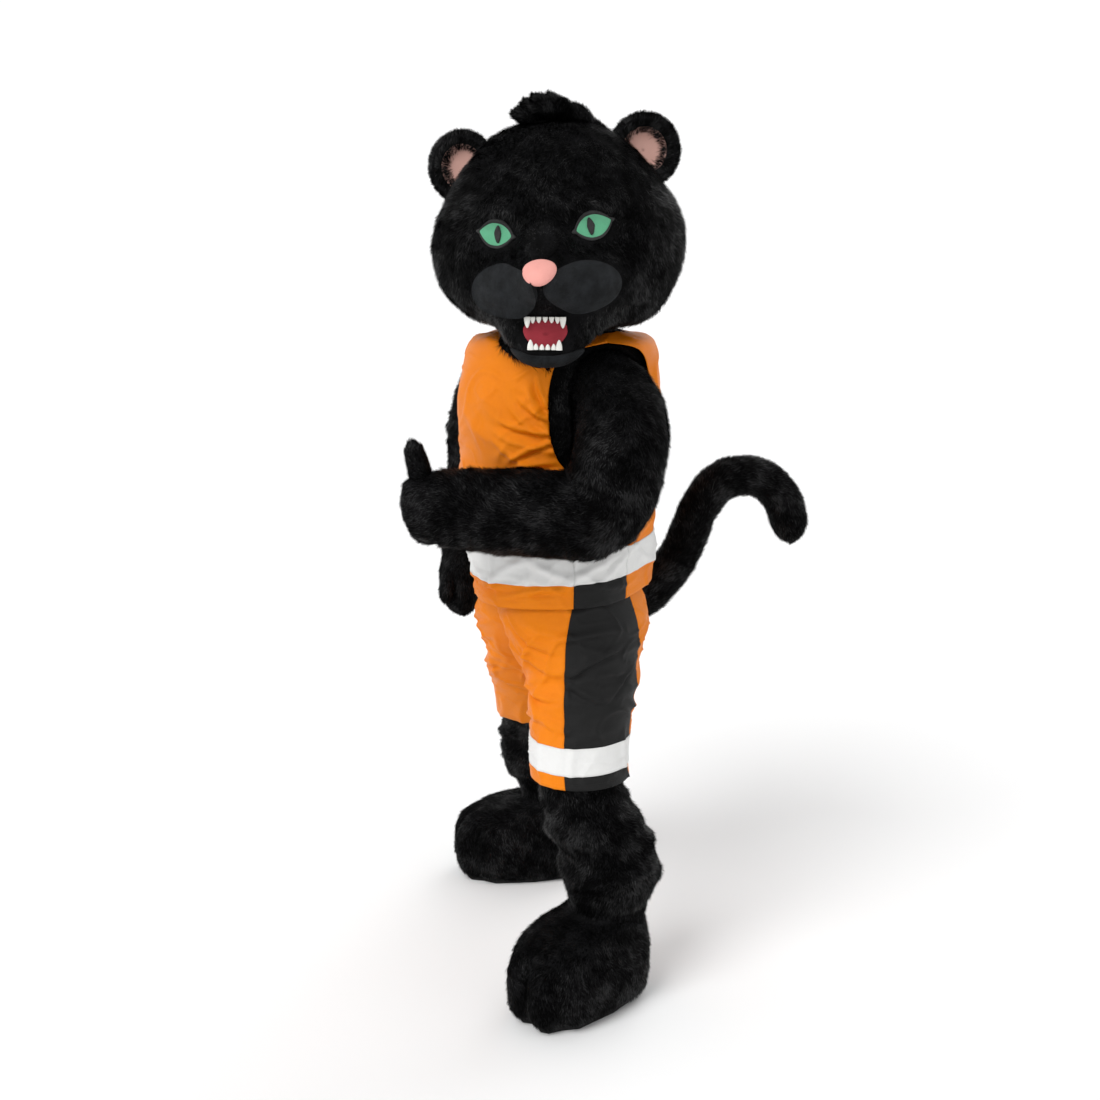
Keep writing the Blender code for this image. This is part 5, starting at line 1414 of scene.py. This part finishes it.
around = np.linspace(-math.pi, math.pi, 400)
for number, level in enumerate((0.086, 0.174)):
    sewn(f"jersey_band_stitches_{number}", jersey, around, np.full(400, level), 1, LIFT + BAND,
         "white")
for number, (low, high, kind) in enumerate((
    (-66, 66, "orange"), (66, 102, "black"), (102, 258, "orange"), (258, 294, "black"),
)):
    sewn(f"jersey_hem_{number}", jersey, np.radians(np.linspace(low, high, 150)),
         np.full(150, 0.022), 1, 0.0, kind)
for label, sign in SIDES:
    seam = np.linspace(0.0, 0.41, 120)
    for part, turn in (("front", math.degrees(SIDE_FRONT) - 1.1),
                       ("back", math.degrees(SIDE_BACK) + 1.1)):
        sewn(f"jersey_seam_{label}_{part}", jersey, np.full(120, sign * math.radians(turn)),
             seam, 1, 0.0, "orange")
for label, sign, stance in LEGS:
    short = trouser(SHORTS_ROWS, stance, sign, shorts_relief(sign))
    for part, low, high, kind, _ in PANELS:
        sewn(f"shorts_hem_{label}_{part}", short, np.radians(np.linspace(low, high, 150)),
             np.full(150, 0.978), -sign, 0.0, kind)
    for part, turn in (("front", -50.0), ("back", 50.0)):
        sewn(f"shorts_seam_{label}_{part}", short, np.full(200, math.radians(turn)),
             np.linspace(0.05, 0.83, 200), -sign, 0.0, "orange")
    if sign > 0:
        for number, level in enumerate((0.848, 0.942)):
            sewn(f"shorts_band_stitches_{number}", short, around, np.full(400, level), -sign,
                 LIFT + BAND, "white")


# Head.


# Where no pile grows on the face: across, height, half width, half height.
BARE_OVALS = [
    (0.076, 1.609, 0.070, 0.046), (-0.076, 1.609, 0.070, 0.046), (0.0, 1.530, 0.074, 0.011),
    (0.0, 1.5535, 0.060, 0.017), (0.0, 1.640, 0.031, 0.023), (0.0, 1.700, 0.033, 0.035),
    (0.098, 1.722, 0.041, 0.029), (-0.098, 1.722, 0.041, 0.029),
]


def bare_far(x, z):
    """The distance from the nearest bare oval, in its own sizes: 1 on its edge."""
    return np.min([np.hypot((x - a) / wide, (z - b) / tall) for a, b, wide, tall in BARE_OVALS],
                  axis=0)


def head_half(name, columns, away, stands_for, seed):
    """Half of the foam head under its plush, moved away from the seam along the head."""
    u, w = places(columns, head_rows)
    move = np.array([-math.sin(HEAD_TURN), math.cos(HEAD_TURN), 0]) * away
    out = np.where(w[..., None] > 0.999, [0.0, 0.0, 1.0], normals(head_shape, u, w))
    outer = head_shape(u, w) + move
    outer = outer + out * matted(outer)[..., None]
    half = skin(name, outer, out, FOAM, "head", plush, "black_plush", stands_for)
    plain = head_plain(u, w)
    far = np.where(plain[..., 1] < -0.04, bare_far(plain[..., 0], plain[..., 2]), 2.0)
    grow(name.replace("_plush", "_pile"), outer, out, "head", fade(far, 0.97, 1.06), -1.0,
         short=0.4 + 0.6 * fade(far, 1.0, 1.5), seed=seed)


head_rows = np.concatenate([levels(34, 0, 0.52)[:-1], levels(28, 0.52, 1.0)])
head_half("head_face_plush", levels(89, -math.pi / 2, math.pi / 2), -SEAM, ["head_face"], 31)
head_half("head_back_plush", levels(55, math.pi / 2, 3 * math.pi / 2), SEAM, ["head_back"], 32)
SUNK = 0.004  # how far the underside of a piece on the face lies inside the foam's surface


def patch(name, surface, count, radii, height, look, slot, stands_for):
    """A piece on the face: its surface raised by height(r), its underside a little inside."""
    angle, r = places(ring_of(count), radii)
    face, out = outward(surface, angle, r, -1, np.maximum(r, 0.02))
    top = face + out * height(r)[..., None]
    depth = height(r).max() + SUNK
    obj = skin(name, top, out, depth, "head", look, slot, stands_for, closed=True, side=-1)
    return top, out


fine_radii = np.sin(np.linspace(0, math.pi / 2, 12))
rim_radii = np.array([0, 0.2, 0.4, 0.58, 0.72, 0.83, 0.91, 0.96, 0.99, 1.0])
for label, sign in SIDES:
    def pad(angle, r, sign=sign, middle=0.0008):
        """An oval on the face that stops short of the middle line."""
        x = 0.076 + 0.070 * np.cos(angle) * r
        z = 1.609 + 0.046 * np.sin(angle) * r
        return face_point(sign * np.maximum(x, middle), z)

    patch(f"whisker_pad_{label}_fleece", pad, 96, rim_radii, dome(0.003, 0.010), fleece,
          "charcoal_fleece", [f"whisker_pad_{label}"])
patch("jaw_fleece", disc(0.0, 1.530, 0.074, 0.0095, 0), 72, rim_radii, dome(0.003, 0.006), fleece,
      "charcoal_fleece", ["jaw"])
bridge = patch("nose_bridge_plush", disc(0.0, 1.700, 0.034, 0.036, 0), 48, rim_radii,
               dome(0.003, 0.004), plush, "black_plush", ["nose_bridge"])
grow("nose_bridge_pile", *bridge, "head", closed=True, long=0.006, lean=(60, 80), seed=33)
patch("nose_fleece", disc(0.0, 1.640, 0.029, 0.021, 0, nose_outline), 80, fine_radii,
      dome(0.006, 0.014), nose_pink, "pink_felt", ["nose"])
patch("tongue_felt", disc(0.0, 1.5535, 0.046, 0.0085, 0), 64, rim_radii, dome(0.002, 0.004),
      red, "red_felt", ["tongue"])
EYE_WIDE = 0.036
for label, sign in SIDES:
    place = (sign * 0.098, 1.722, EYE_WIDE, 0.025, sign * 14)
    patch(f"eye_rim_{label}_felt", disc(*place, almond(EYE_WIDE)), 64,
          np.array([0.98, 1.04, 1.12, 1.2]), flat(0.005), gauze, "grey_mesh",
          [f"eye_rim_{label}"])
    slit = disc(sign * 0.092, 1.722, 0.0075, 0.020, sign * 4, almond(0.0075))
    patch(f"pupil_{label}_gauze", slit, 40, np.array([0, 0.5, 1.0]), flat(0.0085), gauze,
          "grey_mesh", [f"pupil_{label}"])
    patch(f"eye_{label}_green", disc(*place, almond(EYE_WIDE)), 64, rim_radii,
          dome(0.004, 0.003), green, "green_enamel", [f"eye_{label}"])

EAR_COLUMNS, EAR_ROWS, LINING_THICK = 56, 16, 0.002
# Shares of the ear's radius: the lining's, where pile starts round it, and where its comb turns.
LINING, PILE_FROM, PILE_TURNS = 0.62, (0.52, 0.60), 0.84
for label, sign in SIDES:
    back_r, front_r = np.linspace(0, 1, EAR_ROWS), np.linspace(1, 0, EAR_ROWS)[1:]
    angle, r = places(ring_of(EAR_COLUMNS), back_r)
    back_side = ear_point(sign, angle, r, -reach(EAR_BACK, r))
    angle, r = places(ring_of(EAR_COLUMNS), front_r)
    front_side = ear_point(sign, angle, r, reach(EAR_FRONT, r))
    dish = np.concatenate([back_side, front_side])
    faces, steps = woven(len(dish), EAR_COLUMNS, True)
    ear = put(f"ear_{label}_plush", dish, faces, "head", plush, "black_plush", [f"ear_{label}"],
              steps * 0.005, merged=True)
    facing = np.cross(np.roll(dish, -1, axis=1) - np.roll(dish, 1, axis=1),
                      np.gradient(dish, axis=0))
    middle = dish.reshape(-1, 3).mean(axis=0)
    facing = unit(facing) * np.sign(((dish - middle) * facing).sum())
    radius = np.concatenate([back_r, front_r])[:, None] + np.zeros((1, EAR_COLUMNS))
    in_front = np.arange(len(dish))[:, None] >= EAR_ROWS
    inwards = in_front & (radius < PILE_TURNS)
    outwards = np.where(in_front & ~inwards, -1.0, 1.0)[..., None]
    pile_here = np.where(in_front, 2.6 * fade(radius, *PILE_FROM), fade(radius, 0.02, 0.08))
    grow(f"ear_{label}_pile", dish, facing, "head", pile_here, outwards, True, 0.010,
         np.where(inwards, 1.25, 1.0), seed=34)
    angle, r = places(ring_of(EAR_COLUMNS), np.linspace(0, LINING, 12))
    under = ear_point(sign, angle, r, reach(EAR_FRONT, r) + LIFT)
    over = ear_point(sign, angle, r, reach(EAR_FRONT, r) + LIFT + LINING_THICK)
    away = (over - under) / LINING_THICK
    skin(f"ear_lining_{label}_fleece", over, away, LINING_THICK, "head", pink, "pink_felt",
         [f"ear_lining_{label}"], closed=True)


# Lower locks, which rise on the left ear's side of the crown and lie over to the right. Root,
# tip, radius and bow, in metres.
LOW_LOCKS = [
    (0.120, -0.020, 1.880, 0.070, -0.034, 1.926, 0.024, 0.000, 0.0, 0.008),
    (0.092, -0.030, 1.906, 0.030, -0.046, 1.962, 0.025, 0.000, 0.0, 0.012),
    (0.060, -0.036, 1.920, -0.008, -0.058, 1.984, 0.025, 0.000, 0.0, 0.012),
    (0.040, -0.052, 1.918, -0.030, -0.078, 1.972, 0.022, 0.000, 0.0, 0.012),
    (0.012, -0.044, 1.926, -0.056, -0.074, 1.962, 0.021, 0.000, 0.0, 0.010),
    (0.030, -0.014, 1.926, -0.020, -0.036, 1.980, 0.022, 0.000, 0.0, 0.010),
]


def lock(x0, y0, z0, x1, y1, z1, radius, bend_x, bend_y, bend_z):
    """surface(u, t): a tapering tube from root to tip, bowed by bend times 4t(1 - t)."""
    root, tip, bend = np.array([[x0, y0, z0], [x1, y1, z1], [bend_x, bend_y, bend_z]])
    axis = (tip - root) / np.linalg.norm(tip - root)
    beside = unit(np.cross(axis, [0.31, 0.17, 0.93]))
    over = np.cross(axis, beside)

    def surface(u, t):
        share = smooth(t, [(0, 0.9), (0.35, 1.0), (0.7, 0.86), (0.92, 0.52), (1, 0.06)])
        t = t[..., None]
        middle = root + (tip - root) * t + bend * 4 * t * (1 - t)
        turn = u[..., None]
        return posed(middle + radius * share * (beside * np.cos(turn) + over * np.sin(turn)))

    return surface


def crown(angle, r):
    """An oval cap that falls away from the middle as the square of the distance."""
    x, y = 0.052 * np.cos(angle) * r + 0.004, 0.042 * np.sin(angle) * r - 0.044
    z = 1.946 - 0.9 * (x**2 + (y + 0.02) ** 2) / 0.5
    return posed(xyz(x, y, z))


angle, r = places(ring_of(40), levels(12))
crown_top = crown(angle, r) + xyz(0 * r, 0 * r, 0.010 * (1.15 - r**2))
upright = np.broadcast_to([0.0, 0.0, 1.0], crown_top.shape)
tuft = skin("crown_tuft_plush", crown_top, upright, 0.018, "head", plush, "black_plush",
            ["crown_tuft"], closed=True)
grow("crown_tuft_pile", crown_top, upright, "head", closed=True, long=0.022, lean=(35, 70),
     density=300000.0, seed=35)
for number, row in enumerate(TUFT_LOCKS + LOW_LOCKS):
    surface = lock(*row[:6], row[6] * (1.3 if number < len(TUFT_LOCKS) else 1.0), *row[7:])
    points, out = outward(surface, *places(ring_of(16), levels(16)))
    skin(f"tuft_lock_{number}_plush", points, out, 0.001, "head", plush, "black_plush",
                   [], closed=True)
    grow(f"tuft_lock_{number}_pile", points, out, "head", closed=True, long=0.013,
         lean=(58, 82), density=330000.0, seed=36 + number)


MOUTH_HEIGHT = 1.5535
# A tooth: its depth's half, the half width of a long one and of others, and where long starts.
TOOTH_DEEP, FANG_WIDE, TOOTH_WIDE, FANG_LONG = 0.0036, 0.0066, 0.0054, 0.018


def teeth(name, table, root, downward, forward, stands_for):
    """A row of rounded teeth: ovals round upright lines, one at each peak of the table, that
    narrow towards the tips."""
    rows = np.asarray(table)
    inner, sides = rows[1:-1], np.maximum(rows[:-2, 1], rows[2:, 1])
    peaks = inner[inner[:, 1] > sides]
    ahead = np.array([math.sin(HEAD_TURN), -math.cos(HEAD_TURN), 0.0])
    beside = np.array([math.cos(HEAD_TURN), math.sin(HEAD_TURN), 0.0])
    base = face_point(peaks[:, 0], np.full(len(peaks), MOUTH_HEIGHT)) + ahead * forward
    down, wide = np.moveaxis(np.array([
        (-0.05, 0), (-0.05, 0.95), (0.0, 1), (0.25, 0.97), (0.5, 0.84), (0.72, 0.62), (0.88, 0.38),
        (0.97, 0.18), (1.0, 0)]), -1, 0)
    u = ring_of(16)
    points = base[:, None, None, :] + 0 * wide[:, None, None] * u[:, None]
    points[..., 2] = root + downward * peaks[:, 1, None, None] * down[:, None]
    half = np.where(peaks[:, 1] > FANG_LONG, FANG_WIDE, TOOTH_WIDE)[:, None, None, None]
    points = points + wide[:, None, None] * (
        half * np.sin(u)[:, None] * beside + TOOTH_DEEP * np.cos(u)[:, None] * ahead)
    faces, steps = woven(len(wide), 16, True)
    every = faces + np.arange(len(peaks))[:, None, None] * len(wide) * 16
    put(name, points, every.reshape(-1, 4), "head", white, "white_teeth", stands_for,
        np.tile(steps, (len(peaks), 1, 1)) * 0.002, merged=True)


teeth("upper_teeth_foam", UPPER_TEETH, 1.552, -1, 0.012, ["upper_teeth"])
teeth("lower_teeth_foam", LOWER_TEETH, 1.488, 1, 0.018, ["lower_teeth"])

# CAD nodes that stay, with their finish.
for node in ("sole_left", "sole_right"):
    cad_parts[node].data.materials.clear()
    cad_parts[node].data.materials.append(rubber)


# A pale floor and plain studio light.
SKY, FLOOR_HALF = 0.58, 9.0
# Each lamp: how far from straight down it leans, its way round, its softness and its strength.
LAMPS = {"key": (44, 20, 32, 1.75), "back": (52, 205, 40, 0.55)}
floor_mesh = bpy.data.meshes.new("floor")
floor_mesh.from_pydata([(a * FLOOR_HALF, b * FLOOR_HALF, 0.0) for a, b in
                        ((-1, -1), (1, -1), (1, 1), (-1, 1))], [], [(0, 1, 2, 3)])
floor = bpy.data.objects.new("floor", floor_mesh)
floor.location.z = -NECK_HEIGHT - 0.0005
bpy.context.scene.collection.objects.link(floor)
floor_mesh.materials.append(finish("pale_floor", {"Base Color": (0.94, 0.94, 0.94, 1),
                                                  "Roughness": 0.85}))
# The studio is white near the horizon and softer above, with one broad soft lamp high in front
# and a weaker one behind.
world = bpy.data.worlds.new("pale_studio")
world.use_nodes = True
rise = Wire(world.node_tree).coordinates("Generated").axis(2)
glow = rise.ramp((0.32, 1.06), (0.46, SKY))
world.node_tree.links.new(glow.socket, world.node_tree.nodes["Background"].inputs["Color"])
bpy.context.scene.world = world
for name, (down, round_by, soft, power) in LAMPS.items():
    lamp = bpy.data.lights.new(name, "SUN")
    lamp.angle, lamp.energy = math.radians(soft), power
    holder = bpy.data.objects.new(name, lamp)
    holder.rotation_euler = (math.radians(down), 0.0, math.radians(round_by))
    bpy.context.scene.collection.objects.link(holder)
